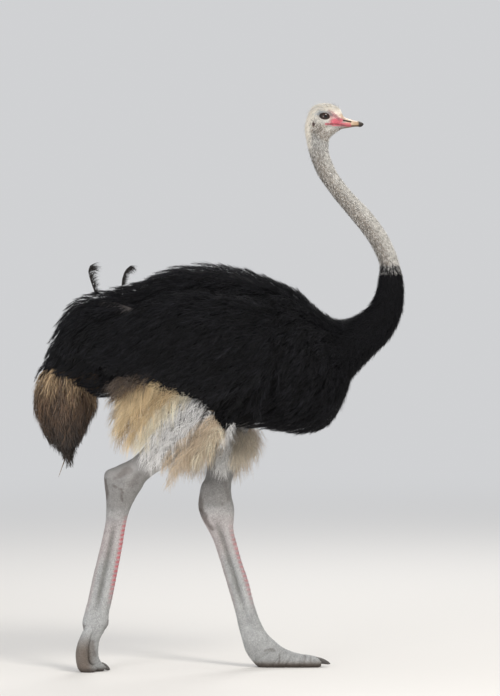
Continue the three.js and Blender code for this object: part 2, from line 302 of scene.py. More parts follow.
def wing(side):
    """A folded wing's loft, from its front to its rear end."""
    out = np.array([row[5] for row in WING]) * SIDES[side]
    return Loft(WING, WING_TOP_Y * out, WING_LOW_Y * out)


body = Loft(BODY, 0)
tail = Loft(TAIL, 0)


# ---------------------------------------------------------------- meshes
def make_object(name, verts, faces, tint=None, uv=None):
    """A mesh object of triangles or quads. tint has a colour for each point, uv a place for each corner."""
    mesh = bpy.data.meshes.new(name)
    faces = np.asarray(faces, np.int32)
    sides = faces.shape[1]
    mesh.vertices.add(len(verts))
    mesh.vertices.foreach_set("co", np.asarray(verts, np.float32).ravel())
    mesh.loops.add(faces.size)
    mesh.loops.foreach_set("vertex_index", faces.ravel())
    mesh.polygons.add(len(faces))
    mesh.polygons.foreach_set("loop_start", np.arange(0, faces.size, sides, dtype=np.int32))
    if uv is not None:
        layer = mesh.uv_layers.new(name="OFBake", do_init=False)
        layer.uv.foreach_set("vector", np.asarray(uv, np.float32).ravel())
    mesh.update(calc_edges=True)
    if tint is not None:
        set_tint(mesh, tint)
    mesh.shade_smooth()
    obj = bpy.data.objects.new(name, mesh)
    bpy.context.scene.collection.objects.link(obj)
    return obj


def set_tint(mesh, tint):
    """Stores a colour for each point, which the materials read as tint."""
    layer = mesh.attributes.get("tint") or mesh.attributes.new("tint", "FLOAT_COLOR", "POINT")
    rgba = np.ones((len(mesh.vertices), 4), np.float32)
    rgba[:, :3] = tint
    layer.data.foreach_set("color", rgba.ravel())


def places(mesh):
    """The points of a mesh as an array."""
    co = np.empty(len(mesh.vertices) * 3, np.float32)
    mesh.vertices.foreach_get("co", co)
    return co.reshape(-1, 3).astype(float)


def tube_faces(rings, sides):
    """Quads of the wall of a tube of rings."""
    i = np.arange(sides)
    j = (i + 1) % sides
    low = np.arange(rings - 1)[:, None] * sides
    return np.stack([low + i, low + j, low + sides + j, low + sides + i], -1).reshape(-1, 4)


def tube_object(name, grid, chart):
    """A closed tube from a grid of points, whose ends are fans of quads round a middle point.

    chart is the part of the bake map that it fills: u0, v0, u1, v1. The number of sides is even.
    """
    rings, sides = grid.shape[:2]
    verts = np.vstack([grid.reshape(-1, 3), grid[0].mean(0), grid[-1].mean(0)])
    quads = tube_faces(rings, sides)
    first, second = rings * sides, rings * sides + 1
    i = np.arange(0, sides, 2)
    top = (rings - 1) * sides
    near = np.stack([np.full(len(i), first), (i + 2) % sides, i + 1, i], -1)
    far = np.stack([np.full(len(i), second), top + i, top + i + 1, top + (i + 2) % sides], -1)
    faces = np.vstack([quads, near, far])
    u0, v0, u1, v1 = chart
    u = np.linspace(u0, u1, rings)
    v = np.linspace(v0, v1, sides + 1)
    column = np.tile(np.arange(sides), rings - 1)
    row = np.repeat(np.arange(rings - 1), sides)
    corner_u = np.stack([u[row], u[row], u[row + 1], u[row + 1]], -1)
    corner_v = np.stack([v[column], v[column + 1], v[column + 1], v[column]], -1)
    uv = np.stack([corner_u, corner_v], -1).reshape(-1, 2)
    for at, faces_here, edge in ((u0, near, -1), (u1, far, 1)):
        inset = np.array([[0.0, 0], [0.002, 0.004], [0.002, 0.002], [0.002, 0.0]]) * [-edge, 1]
        middle = v0 + (v1 - v0) * np.repeat(i / sides, 4)[:, None]
        cap = np.tile(inset, (len(faces_here), 1)) + np.hstack([np.full((len(middle), 1), at), middle])
        uv = np.vstack([uv, cap])
    if signed_volume(verts, faces) < 0:
        faces = faces[:, ::-1]
        uv = uv.reshape(-1, 4, 2)[:, ::-1].reshape(-1, 2)
    return make_object(name, verts, faces, uv=uv)


def signed_volume(verts, quads):
    a, b, c, d = (verts[quads[:, k]] for k in range(4))
    return np.einsum("ij,ij->", a, np.cross(b, c)) + np.einsum("ij,ij->", a, np.cross(c, d))


def even_places(loft, start, end, spacing):
    """Places along a loft so that its rings lie about spacing apart where they are furthest apart."""
    t = np.linspace(start, end, 400)
    ring = loft.points(t, circle(8))
    step = np.linalg.norm(np.diff(ring, axis=0), axis=2).max(axis=1)
    wanted = spacing(t[:-1]) if callable(spacing) else np.full(len(step), spacing)
    travelled = np.concatenate([[0], np.cumsum(step / wanted)])
    count = int(math.ceil(travelled[-1])) + 1
    return np.interp(np.linspace(0, travelled[-1], count), travelled, t)


def unite(base, others):
    """Joins closed pieces into base as one closed skin, and removes them."""
    for other in others:
        modifier = base.modifiers.new("join", "BOOLEAN")
        modifier.operation = "UNION"
        modifier.solver = "MANIFOLD"
        modifier.object = other
    graph = bpy.context.evaluated_depsgraph_get()
    joined = bpy.data.meshes.new_from_object(base.evaluated_get(graph))
    base.modifiers.clear()
    base.data = joined
    for other in others:
        bpy.data.objects.remove(other)


def finish_piece(piece, material, slot, *nodes):
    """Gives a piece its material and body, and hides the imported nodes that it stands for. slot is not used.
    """
    piece.data.materials.append(material)
    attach(piece, "root")
    if nodes:
        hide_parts(*nodes)


# ---------------------------------------------------------------- markings
def blob(p, x, z, rx, rz, turn=0.0, soft=0.5):
    """1 inside a turned ellipse on the bird's side, given in millimetres, falling to 0 outside it."""
    cos, sin = math.cos(turn), math.sin(turn)
    dx, dz = p[:, 0] / MM - x, p[:, 2] / MM - z
    u = (dx * cos + dz * sin) / rx
    v = (dz * cos - dx * sin) / rz
    return 1 - ramp(np.hypot(u, v), 1 - soft, 1 + soft)


def streak(p, x0, z0, x1, z1, width):
    """1 on a line across the bird's side, given in millimetres, falling to 0 at its width."""
    start, end = np.array([x0, z0]), np.array([x1, z1])
    q = p[:, [0, 2]] / MM - start
    along = np.clip(q @ (end - start) / ((end - start) @ (end - start)), 0, 1)
    away = np.linalg.norm(q - along[:, None] * (end - start), axis=1)
    return 1 - ramp(away, 0.3 * width, width)


def plain(colour, points):
    """The same colour for each of the points."""
    return np.tile(np.array(colour), (len(points), 1))


def paint(tint, mask, colour):
    """Lays a colour over the tint where the mask says."""
    return tint + mask[:, None] * (np.asarray(colour, float) - tint)


def noise(p, size, seed=0):
    """Smooth random numbers from -1 to 1 over space, with features of about the given size in metres."""
    turned = p @ np.array([[0.36, 0.48, -0.8], [-0.8, 0.6, 0.0], [0.48, 0.64, 0.6]]) / size
    total = np.zeros(len(p))
    for k, (strength, scale) in enumerate(((0.5, 1.0), (0.3, 2.1), (0.2, 4.3))):
        q = turned * scale + 17.3 * (seed + 1) + 5.1 * k
        wave = np.sin(q[:, 0] + 1.7 * np.sin(0.9 * q[:, 1] + seed))
        wave = wave * np.sin(q[:, 1] + 1.3 * np.sin(1.1 * q[:, 2])) + np.sin(q[:, 2] + 1.9 * np.sin(q[:, 0]))
        total += strength * wave / 1.6
    return total


# Colours of the skin, the bill and the legs, as linear red, green and blue.
CREAM_SKIN = (0.74, 0.69, 0.60)
GREY_SKIN = (0.27, 0.265, 0.25)
PALE_GREY = (0.46, 0.44, 0.40)
BROWN_SKIN = (0.22, 0.17, 0.12)
PINK_SKIN = (0.58, 0.34, 0.33)
RED_SKIN = (0.47, 0.095, 0.125)
# Painted shade in the ear's opening and in the crease of the mouth.
RECESS_SHADE = (0.09, 0.055, 0.05)
# Brown for the chin, partly its own colour and partly painted shade under the lower bill.
CHIN_BROWN = (0.20, 0.14, 0.11)
BILL_CREAM = (0.54, 0.40, 0.28)
BROW_BAND = (0.24, 0.11, 0.12)
EYE_RING = (0.27, 0.29, 0.31)
PALE_RIM = (0.66, 0.63, 0.58)
LID_EDGE = (0.035, 0.026, 0.024)
# The skin under the black coat, darker than the feathers as painted shade, so that gaps in the coat look like
# deep shade.
UNDER_COAT_SHADE = (0.0035, 0.0035, 0.0042)
LEG_GREY = (0.39, 0.395, 0.39)
HOCK_GREY = (0.21, 0.20, 0.19)
PINK_GREY = (0.45, 0.37, 0.36)
PALE_SHIN = (0.55, 0.55, 0.54)
# Painted shade for the shin's tendon groove and low on the feet.
PAINTED_LEG_SHADE = (0.12, 0.118, 0.105)
LEG_MARK = (0.075, 0.055, 0.045)
RED_SHIN = (0.60, 0.10, 0.13)
# The soles and heel pads: partly their own dark colour, partly painted shade along the feet's undersides.
SOLE = (0.055, 0.042, 0.034)
PAD_BROWN = (0.115, 0.08, 0.055)
TAIL_BROWN = (0.14, 0.085, 0.045)

# The head's markings, the same on both sides, among them painted shade in the ear, the mouth's crease and
# under the jaw and chin: strength, shape, the shape's numbers, colour.
HEAD_MARKS = [
    # Brown low on the cheek, partly the skin's own and partly painted shade under the jaw.
    (0.8, blob, (402, 2012, 55, 26, -0.5), BROWN_SKIN),
    (0.9, blob, (392, 2076, 34, 26, 0), PALE_GREY),
    (0.7, blob, (372, 2092, 20, 10, 0.5), EYE_RING),
    (0.85, blob, (432, 2078, 26, 17, -0.5), PINK_SKIN),
    (0.95, blob, (441, 2060, 26, 10.5, 0.12, 0.4), RED_SKIN),
    (0.9, streak, (400, 2048, 432, 2048, 6), RED_SKIN),
    (0.95, streak, (428, 2047, 480, 2046, 10), RED_SKIN),
    (0.7, blob, (415, 2030, 18, 8, 0.1), PALE_GREY),
    (0.6, streak, (434, 2094, 452, 2078, 9), CREAM_SKIN),
    (0.9, blob, (474, 2075, 26, 9, -0.25), BILL_CREAM),
    # Brown under the lower bill, partly the skin's own and partly painted shade under the chin.
    (0.8, blob, (462, 2027, 26, 8, 0.1), CHIN_BROWN),
    (0.75, streak, (412, 2096, 449, 2067, 9), BROW_BAND),
    # Painted shade along the crease of the mouth.
    (0.7, streak, (404, 2047.5, 474, 2043.5, 3.4), RECESS_SHADE),
    # Painted shade in the ear's opening.
    (0.85, blob, (354, 2047, 5.5, 8.5, 0, 0.5), RECESS_SHADE),
    (0.6, blob, (348, 2022, 6, 9, 0.3, 0.6), BROWN_SKIN),
]


def eye_opening(along, across):
    """How far out a place lies from the eye's middle, 1 at the edge of the opening between the lids."""
    tall = np.where(across > 0, EYE_TALL["upper"], EYE_TALL["lower"])
    return np.hypot(along / EYE_LONG, across / tall)


def head_tint(p):
    """The colours of the bare head, among them painted shade in the ear, along the mouth's crease and, in
    part, under the jaw.
    """
    x, z = p[:, 0] / MM, p[:, 2] / MM
    tint = plain(GREY_SKIN, p)
    tint = paint(tint, ramp(z, 2062, 2096), CREAM_SKIN)
    tint = paint(tint, (1 - ramp(x, 333, 356)) * ramp(z, 1860, 2010), CREAM_SKIN)
    for strength, shape, numbers, colour in HEAD_MARKS:
        tint = paint(tint, strength * shape(p, *numbers), colour)
    along, across, _ = eye_frame(p)
    opening = eye_opening(along, across)
    by_eye = ramp(np.abs(p[:, 1]), 0.02, 0.03)
    lower_ring = bell(opening, 1.3, 0.16) * ramp(-across, 0, 0.008)
    upper_ring = bell(opening, 1.42, 0.25) * ramp(across, 0, 0.006)
    tint = paint(tint, by_eye * 0.8 * lower_ring, PALE_RIM)
    tint = paint(tint, by_eye * 0.75 * upper_ring, EYE_RING)
    return paint(tint, by_eye * (1 - ramp(opening, 1.04, 1.14)), LID_EDGE)


def in_front_of_neck(p):
    """0 behind the neck's middle line, 1 along its front."""
    return ramp(p[:, 0] - np.interp(p[:, 2] / MM, NECK_LINE_Z, NECK_LINE_X) * MM, -0.01, 0.03)


def body_tint(p):
    """The skin's colours from the head to the rump, with a painted highlight along the neck's front and
    painted shade under the black coat.
    """
    z = p[:, 2] / MM
    lower = 1 - ramp(z, 1880, 2000)
    front = in_front_of_neck(p)
    # The paler front of the lower neck: partly the skin's own grey, partly a painted highlight along the lit
    # front.
    tint = paint(head_tint(p), lower * 0.9 * front, PALE_GREY)
    tint = paint(tint, lower * 0.5 * (1 - front), BROWN_SKIN)
    tint = tint * (0.78 + 0.44 * (0.5 + 0.5 * noise(p, 0.004, 3)))[:, None]
    # Below the neck's ragged edge, the skin under the black coat is painted near black as shade.
    edge = 1516 + 9 * noise(p, 0.012, 5)
    return paint(tint, 1 - ramp(z, edge - 6, edge + 6), UNDER_COAT_SHADE)


def leg_share(p, side):
    """How far forward a point lies between the rear and front outlines of its leg, from 0 to 1."""
    rows = np.array([row[:4] for row in LEG[side]], float)
    z = p[:, 2] / MM
    by_front = rows[np.argsort(rows[:, 1])]
    by_rear = rows[np.argsort(rows[:, 3])]
    front_x = np.interp(z, by_front[:, 1], by_front[:, 0])
    rear_x = np.interp(z, by_rear[:, 3], by_rear[:, 2])
    return (p[:, 0] / MM - rear_x) / np.maximum(front_x - rear_x, 20)


# Dark marks on the legs, partly the skin's own spots and partly painted shade in the hollow at the right hock
# and in the creases of the left toes: x, z; x, z; width; strength.
LEG_MARKS_AND_SHADE = {
    "right": [
        # Painted shade in the hollow at the hock.
        (-384, 736, -328, 762, 15, 0.55),
        (-330, 700, -300, 740, 16, 0.4),
        (-393, 699, -388, 690, 7, 0.8),
        (-365, 684, -362, 674, 6, 0.8),
        (-361, 664, -363, 655, 5, 0.7),
        (-424, 728, -421, 655, 9, 0.85),
        (-505, 176, -512, 160, 12, 0.7),
        (-412, 190, -428, 150, 10, 0.45),
        (-470, 120, -462, 60, 9, 0.6),
    ],
    "left": [
        (-78, 640, -72, 590, 22, 0.75),
        (-70, 590, -28, 520, 11, 0.8),
        (8, 618, 22, 600, 6, 0.6),
        (20, 690, 40, 640, 14, 0.3),
        # Painted shade in the creases of the toes.
        (172, 70, 210, 72, 6, 0.6),
        (229, 52, 221, 8, 5, 0.75),
        (322, 50, 315, 8, 4, 0.6),
        (346, 44, 342, 10, 4, 0.5),
    ],
}


def leg_tint(p, side):
    """Grey, scaly legs with a red strip of plates down the shin and dark marks, with painted shade in the
    shin's groove, in the folds at the joints and low on the feet, and dark soles that are partly painted
    shade.
    """
    z = p[:, 2] / MM
    tint = plain(LEG_GREY, p)
    tint = paint(tint, 0.8 * ramp(z, 570, 630), HOCK_GREY)
    tint = paint(tint, 0.45 * ramp(z, 380, 460) * (1 - ramp(z, 540, 620)), PINK_GREY)
    tint = tint * (1 + 0.14 * noise(p, 0.03, 9) + 0.10 * noise(p, 0.008, 2))[:, None]
    share = leg_share(p, side)
    shin = ramp(z, 190, 260) * (1 - ramp(z, 500, 590))
    # Painted shade along the tendon's groove down the shin.
    groove_shade = bell(share, 0.45, 0.13) * shin * ramp(z, 200, 300)
    tint = paint(tint, 0.65 * groove_shade, PAINTED_LEG_SHADE)
    tint = paint(tint, 0.35 * bell(share, 0.74, 0.12) * shin, PALE_SHIN)
    red = {"right": (230, 360, 530, 600, 0.95), "left": (200, 330, 450, 560, 0.55)}[side]
    plates = 0.6 + 0.4 * np.sin(z * 2 * math.pi / (SCUTE_HEIGHT / MM))
    reach = ramp(z, red[0], red[1]) * (1 - ramp(z, red[2], red[3]))
    tint = paint(tint, red[4] * reach * ramp(share, 0.78, 0.92) * plates, RED_SHIN)
    tint = paint(tint, 0.5 * shin * (1 - ramp(share, 0.05, 0.2)), PINK_GREY)
    ragged = p + np.column_stack([0.006 * noise(p, 0.02, 4), np.zeros(len(p)), 0.014 * noise(p, 0.018, 6)])
    broken = 0.80 + 0.20 * noise(p, 0.012, 7)
    for x0, z0, x1, z1, width, strength in LEG_MARKS_AND_SHADE[side]:
        tint = paint(tint, strength * broken * streak(ragged, x0, z0, x1, z1, width), LEG_MARK)
    # Painted shade low on each foot, stronger on the right one.
    painted_foot_shade = {"right": 0.35, "left": 0.12}[side]
    tint = paint(tint, painted_foot_shade * (1 - ramp(z, 40, 130)), PAINTED_LEG_SHADE)
    # Dark heel pads and soles, partly their own colour and partly painted shade along the undersides.
    heel = {"right": ramp(-p[:, 0], 0.455, 0.495) * (1 - ramp(z, 80, 160)), "left": 1 - ramp(z, 6, 34)}[side]
    tint = paint(tint, 0.8 * heel, PAD_BROWN)
    tint = paint(tint, 0.9 * (1 - ramp(z, 5, 24)), SOLE)
    return tint


# The neck's middle line, from its lowest row up.
neck_rows = np.array(sorted(((a + c) / 2, (b + d) / 2) for a, b, c, d, _ in HEAD[3:] + NECK), float)
neck_order = np.argsort(neck_rows[:, 1])
NECK_LINE_Z = neck_rows[neck_order, 1]
NECK_LINE_X = neck_rows[neck_order, 0]

# Small scales cover the legs up to the first height; the thigh's bare skin reaches the second.
SCALES_TOP = 0.80
THIGH_TOP = 0.925


# ---------------------------------------------------------------- materials
def new_material(name):
    """A new material, its node tree and its shader."""
    material = bpy.data.materials.new(name)
    material.use_nodes = True
    tree = material.node_tree
    return material, tree, tree.nodes["Principled BSDF"]


def add_node(tree, kind, inputs=None, **settings):
    """A shader node with numbers or colours for its inputs, and its settings by their own names."""
    node = tree.nodes.new(kind)
    for key, value in settings.items():
        setattr(node, key, value)
    set_inputs(node, inputs or {})
    return node


def set_inputs(node, values):
    for key, value in values.items():
        node.inputs[key].default_value = value


def wire(tree, *links):
    """Links nodes: each link is a node and its output, then a node and its input."""
    for source, output, target, entry in links:
        tree.links.new(source.outputs[output], target.inputs[entry])


def map_range(tree, values, kind="LINEAR"):
    """A node that turns one range of numbers into another, from 0 to 1 where nothing else is said."""
    return add_node(tree, "ShaderNodeMapRange", values, interpolation_type=kind)


def tinted_colour(tree, shader, shade):
    """The shader's colour: the tint of each point, brighter or darker by the shade."""
    tint = add_node(tree, "ShaderNodeAttribute", attribute_name="tint")
    scaled = add_node(tree, "ShaderNodeVectorMath", operation="SCALE")
    tree.links.new(shade, scaled.inputs["Scale"])
    wire(tree, (tint, "Color", scaled, 0), (scaled, 0, shader, "Base Color"))


def tinted_material(name, roughness, grain, grain_scale, bump=0.0, bump_scale=1.0, sheen=0.0, gloss=0.5):
    """Takes its colour from the tint of each point, varied by a fine grain, with a bump of the same kind."""
    material, tree, shader = new_material(name)
    place = add_node(tree, "ShaderNodeNewGeometry")
    grain_noise = add_node(tree, "ShaderNodeTexNoise", {"Scale": grain_scale, "Detail": 4.0})
    spread = map_range(tree, {"From Min": 0.3, "From Max": 0.7, "To Min": 1 - grain, "To Max": 1 + grain})
    wire(
        tree,
        (place, "Position", grain_noise, "Vector"),
        (grain_noise, "Fac", spread, "Value"),
    )
    tinted_colour(tree, shader, spread.outputs["Result"])
    set_inputs(shader, {"Roughness": roughness, "Specular IOR Level": gloss})
    if bump:
        cells = add_node(tree, "ShaderNodeTexVoronoi", {"Scale": bump_scale})
        relief = add_node(tree, "ShaderNodeBump", {"Strength": bump, "Distance": 0.001})
        wire(
            tree,
            (place, "Position", cells, "Vector"),
            (cells, "Distance", relief, "Height"),
            (relief, "Normal", shader, "Normal"),
        )
    if sheen:
        set_inputs(shader, {"Sheen Weight": sheen, "Sheen Roughness": 0.4})
    return material


# Scales: how much they are squashed, the width and shades of their lines, their own shades, how far below
# SCALES_TOP they begin and end to fade, and how high they stand.
SCALE_SQUASH = (1.0, 1.0, 0.72)
SCALE_LINE = 0.16
LINE_SHADES = {"To Min": 0.70, "To Max": 1.06}
SCALE_SHADES = {"To Min": 0.84, "To Max": 1.14}
FADE_START = 0.11
FADE_END = 0.005
SCALE_RELIEF = 0.00096


def scaly_material(name, scale):
    """Skin of small, raised scales of uneven shade with darker lines between. They end below SCALES_TOP."""
    material, tree, shader = new_material(name)
    place = add_node(tree, "ShaderNodeNewGeometry")
    stretch = add_node(tree, "ShaderNodeVectorMath", operation="MULTIPLY")
    stretch.inputs[1].default_value = SCALE_SQUASH
    edges = add_node(tree, "ShaderNodeTexVoronoi", {"Scale": scale}, feature="DISTANCE_TO_EDGE")
    cells = add_node(tree, "ShaderNodeTexVoronoi", {"Scale": scale})
    wire(
        tree,
        (place, "Position", stretch, 0),
        (stretch, 0, edges, "Vector"),
        (stretch, 0, cells, "Vector"),
    )
    plateau = map_range(tree, {"From Max": SCALE_LINE}, "SMOOTHSTEP")
    line_shade = map_range(tree, LINE_SHADES)
    cell_shade = map_range(tree, SCALE_SHADES)
    shade = add_node(tree, "ShaderNodeMath", operation="MULTIPLY")
    wire(
        tree,
        (edges, "Distance", plateau, "Value"),
        (plateau, "Result", line_shade, "Value"),
        (cells, "Color", cell_shade, "Value"),
        (line_shade, "Result", shade, 0),
        (cell_shade, "Result", shade, 1),
    )
    height = add_node(tree, "ShaderNodeSeparateXYZ")
    fade = {"From Min": SCALES_TOP - FADE_START, "From Max": SCALES_TOP - FADE_END}
    present = map_range(tree, fade | {"To Min": 1.0, "To Max": 0.0}, "SMOOTHSTEP")
    faded = map_range(tree, {"To Min": 1.0})
    wire(
        tree,
        (place, "Position", height, 0),
        (height, "Z", present, "Value"),
        (present, "Result", faded, "Value"),
        (shade, 0, faded, "To Max"),
    )
    tinted_colour(tree, shader, faded.outputs["Result"])
    relief = add_node(tree, "ShaderNodeBump", {"Distance": SCALE_RELIEF})
    wire(
        tree,
        (present, "Result", relief, "Strength"),
        (plateau, "Result", relief, "Height"),
        (relief, "Normal", shader, "Normal"),
    )
    set_inputs(shader, {"Roughness": 0.55, "Specular IOR Level": 0.4})
    return material


def eye_material(name):
    """A wet, clear coat over the tint of each point."""
    material, tree, shader = new_material(name)
    tint = add_node(tree, "ShaderNodeAttribute", attribute_name="tint")
    wire(tree, (tint, "Color", shader, "Base Color"))
    set_inputs(shader, {"Roughness": 0.25, "Specular IOR Level": 0.1})
    set_inputs(shader, {"Coat Weight": 0.6, "Coat Roughness": 0.02})
    return material


SKIN = tinted_material("ostrich_skin", 0.66, 0.14, 260.0, 0.5, 420.0, gloss=0.13)
LEG_SKIN = scaly_material("ostrich_leg_scales", 225.0)
HORN = tinted_material("ostrich_horn", 0.46, 0.12, 180.0, 0.15, 500.0, gloss=0.3)
EYE_GLOSS = eye_material("ostrich_eye")
# A coat's material and its slot.
BLACK_COAT = (tinted_material("black_plumes", 0.48, 0.10, 300.0, sheen=0.02, gloss=0.15), "black_plumage")
PALE_COAT = (tinted_material("pale_plumes", 0.70, 0.08, 400.0, sheen=0.15), "pale_plumage")
DOWN_COAT = (PALE_COAT[0], "bare_skin")
BROWN_COAT = (tinted_material("brown_plumes", 0.62, 0.12, 300.0, sheen=0.1), "brown_plumage")


# ---------------------------------------------------------------- skin
def coat_depth(t):
    """How deep the skin lies below the feather tips, along the body's rows."""
    at = [0, 9, 11, BLACK_START - 0.5, BLACK_START + 1, TRUNK_START, TRUNK_START + 3, BODY_END - 3, BODY_END]
    depth = [0, 0, 2, 3, 9, 16, 32, 30, 22]
    return np.interp(t, at, depth) * MM


def side_dense_angles(count):
    """Angles round a ring, twice as close at its two sides as at its upper and lower outlines, on average."""
    angle = circle(count)
    return angle + 0.25 * np.sin(2 * angle)


def body_grid():
    """The skin of head, neck and trunk, with its rings closest together on the head."""
    def spacing(t):
        return np.interp(t, [3, 9.5, 11, 18, 24, BODY_END], [1.42, 1.6, 4.2, 6, 17, 20]) * MM

    t = even_places(body, HEAD_START, BODY_END, spacing)
    tuck = 1.1 * MM * (1 - ramp(t, HEAD_START, HEAD_START + 0.5))
    return body.points(t, side_dense_angles(128), coat_depth(t) + tuck)


def eye_centre(side):
    """The middle of an eyeball."""
    return EYE_CENTRE * [1, SIDES[side], 1]


def eye_frame(p):
    """Places along and across the slanted eye opening, and the side of the head that each point is on."""
    side = np.where(p[:, 1] >= 0, 1.0, -1.0)
    dx, dz = p[:, 0] - EYE_CENTRE[0], p[:, 2] - EYE_CENTRE[2]
    tilt = math.radians(EYE_TILT)
    along = dx * math.cos(tilt) + dz * math.sin(tilt)
    across = dz * math.cos(tilt) - dx * math.sin(tilt)
    return along, across, side


def mound(p, x, z, long, tall):
    """1 at a place on the bird's side, in metres, falling smoothly around it."""
    return np.exp(-(((p[:, 0] - x) / long) ** 2) - ((p[:, 2] - z) / tall) ** 2)


def groove(p, lines):
    """How far lines on the bird's side sink the skin: each is x0, z0, x1, z1, width, depth in millimetres."""
    sunk = np.zeros(len(p))
    for x0, z0, x1, z1, width, depth in lines:
        sunk = np.maximum(sunk, streak(p, x0, z0, x1, z1, width) * depth * MM)
    return sunk


# Folds and creases of the face.
FACE_LINES = [
    (398, 2046, 430, 2047, 4.5, 2.4),
    (430, 2047, 478, 2043.5, 4.5, 3.0),
    (412, 2098, 431, 2086, 6, 2.2),
    (431, 2086, 452, 2066, 5, 2.0),
    (375, 2062, 392, 2055, 4, 1.2),
    (392, 2055, 414, 2059, 4, 1.3),
    (380, 2053, 404, 2050, 3, 0.7),
    (369, 2091, 386, 2099, 4, 1.0),
    (386, 2099, 410, 2099, 4, 1.1),
    (372, 2098, 388, 2105, 3, 0.6),
    (366, 2070, 358, 2060, 3, 0.8),
    (364, 2078, 352, 2072, 3, 0.7),
    (415, 2032, 440, 2026, 4, 0.9),
    (392, 2022, 420, 2014, 5, 1.0),
    (380, 2006, 405, 1996, 5, 1.0),
    (372, 1990, 400, 1978, 5, 0.9),
]


def shape_head(p):
    """Moves the head's points sideways into brows, cheeks, the rims of the eyes, ears and creases."""
    along, across, side = eye_frame(p)
    out = np.abs(p[:, 1])
    lateral = ramp(out, 0.008, 0.024)
    away = np.hypot(along, across)
    opening = eye_opening(along, across)
    ball = np.sqrt(np.maximum((EYE_RADIUS + 0.0014) ** 2 - away**2, 0))
    near_eye = 1 - ramp(opening, 1.12, 1.95)
    target = out + near_eye * (EYE_CENTRE[1] + ball - out)
    target = target - 0.016 * (1 - ramp(opening, 0.93, 1.0))
    brow = bell(across, 0.0225, 0.0055) * (1 - ramp(np.abs(along + 0.002), 0.014, 0.034))
    cheek = mound(p, 0.386, 2.034, 0.022, 0.016)
    lores = mound(p, 0.440, 2.074, 0.013, 0.010)
    gape = bell(p[:, 2], 2.0535, 0.0035) * ramp(p[:, 0], 0.405, 0.425)
    lip = bell(p[:, 2], 2.0375, 0.004) * ramp(p[:, 0], 0.400, 0.425)
    target = target + 0.0026 * brow + 0.0035 * cheek - 0.0024 * lores + 0.0012 * gape + 0.0014 * lip
    ear = np.hypot((p[:, 0] - 0.354) / 0.0048, (p[:, 2] - 2.047) / 0.0080)
    rim = bell(ear, 1.4, 0.3)
    target = target - 0.0075 * (1 - ramp(ear, 0.6, 1.1)) + 0.0016 * rim
    target = target - groove(p, FACE_LINES)
    in_head = ramp(p[:, 2], 1.975, 2.000) * (1 - ramp(p[:, 0], 0.440, 0.458))
    moved = p.copy()
    moved[:, 1] = side * (out + lateral * in_head * (target - out))
    return moved


def eye_point(side, along, across, height):
    """Points over the eyeball, by their place in the slanted opening and their height above the ball."""
    tilt = math.radians(EYE_TILT)
    dx = along * math.cos(tilt) - across * math.sin(tilt)
    dz = along * math.sin(tilt) + across * math.cos(tilt)
    reach = (EYE_RADIUS + height) ** 2 - along**2 - across**2
    dy = np.sqrt(np.maximum(reach, 1e-8))
    return eye_centre(side) + np.stack([dx, SIDES[side] * dy, dz], -1)


def lid_line(which, count):
    """The edge of a lid, from the front corner to the rear one, and how far along it each point is."""
    f = np.linspace(0, 1, count)
    turn = math.pi * (1.05 * f - 0.025)
    sign = 1 if which == "upper" else -1
    along = EYE_LONG * np.cos(turn)
    across = sign * EYE_TALL[which] * np.sin(turn) * np.abs(np.sin(turn)) ** 0.2
    return f, along, across


def lid_tube(side, which):
    """A thin, round rim along the edge of a lid."""
    f, along, across = lid_line(which, 60)
    radius = LID_RADIUS[which] * (0.55 + 0.45 * np.sin(math.pi * f) ** 0.5)
    line = eye_point(side, along, across, 0.0009)
    outward = unit(line - eye_centre(side))
    ahead = unit(np.gradient(line, axis=0))
    aside = np.cross(ahead, outward)
    turn = circle(12)
    flat = aside[:, None] * np.cos(turn)[None, :, None] * 1.25
    ring = flat + outward[:, None] * np.sin(turn)[None, :, None]
    return line[:, None] + ring * radius[:, None, None]


def shape_neck(p):
    """A long fold down the front of the neck over the windpipe."""
    z = p[:, 2] / MM
    centre_x = np.interp(z, NECK_LINE_Z, NECK_LINE_X) * MM
    in_neck = ramp(z, 1530, 1600) * (1 - ramp(z, 1880, 1950))
    ahead = p[:, 0] - centre_x
    fold = bell(ahead, 0.016, 0.0035) * in_neck * ramp(np.abs(p[:, 1]), 0.008, 0.02)
    moved = p.copy()
    moved[:, 1] += np.sign(p[:, 1]) * 0.0018 * fold
    return moved


def leg_grid(side):
    """The skin of a leg, from the thigh to the end of the main toe."""
    t = even_places(limb(LEG[side], side), 0, len(LEG[side]) - 1, 4.2 * MM)
    angle = circle(52)
    grid = limb(LEG[side], side).points(t, angle)
    return shape_leg(grid, t, angle, side)


SCUTE_HEIGHT = 0.017
TOE_PAD = 0.046
TOES_ROW = {"right": 13.0, "left": 14.0}


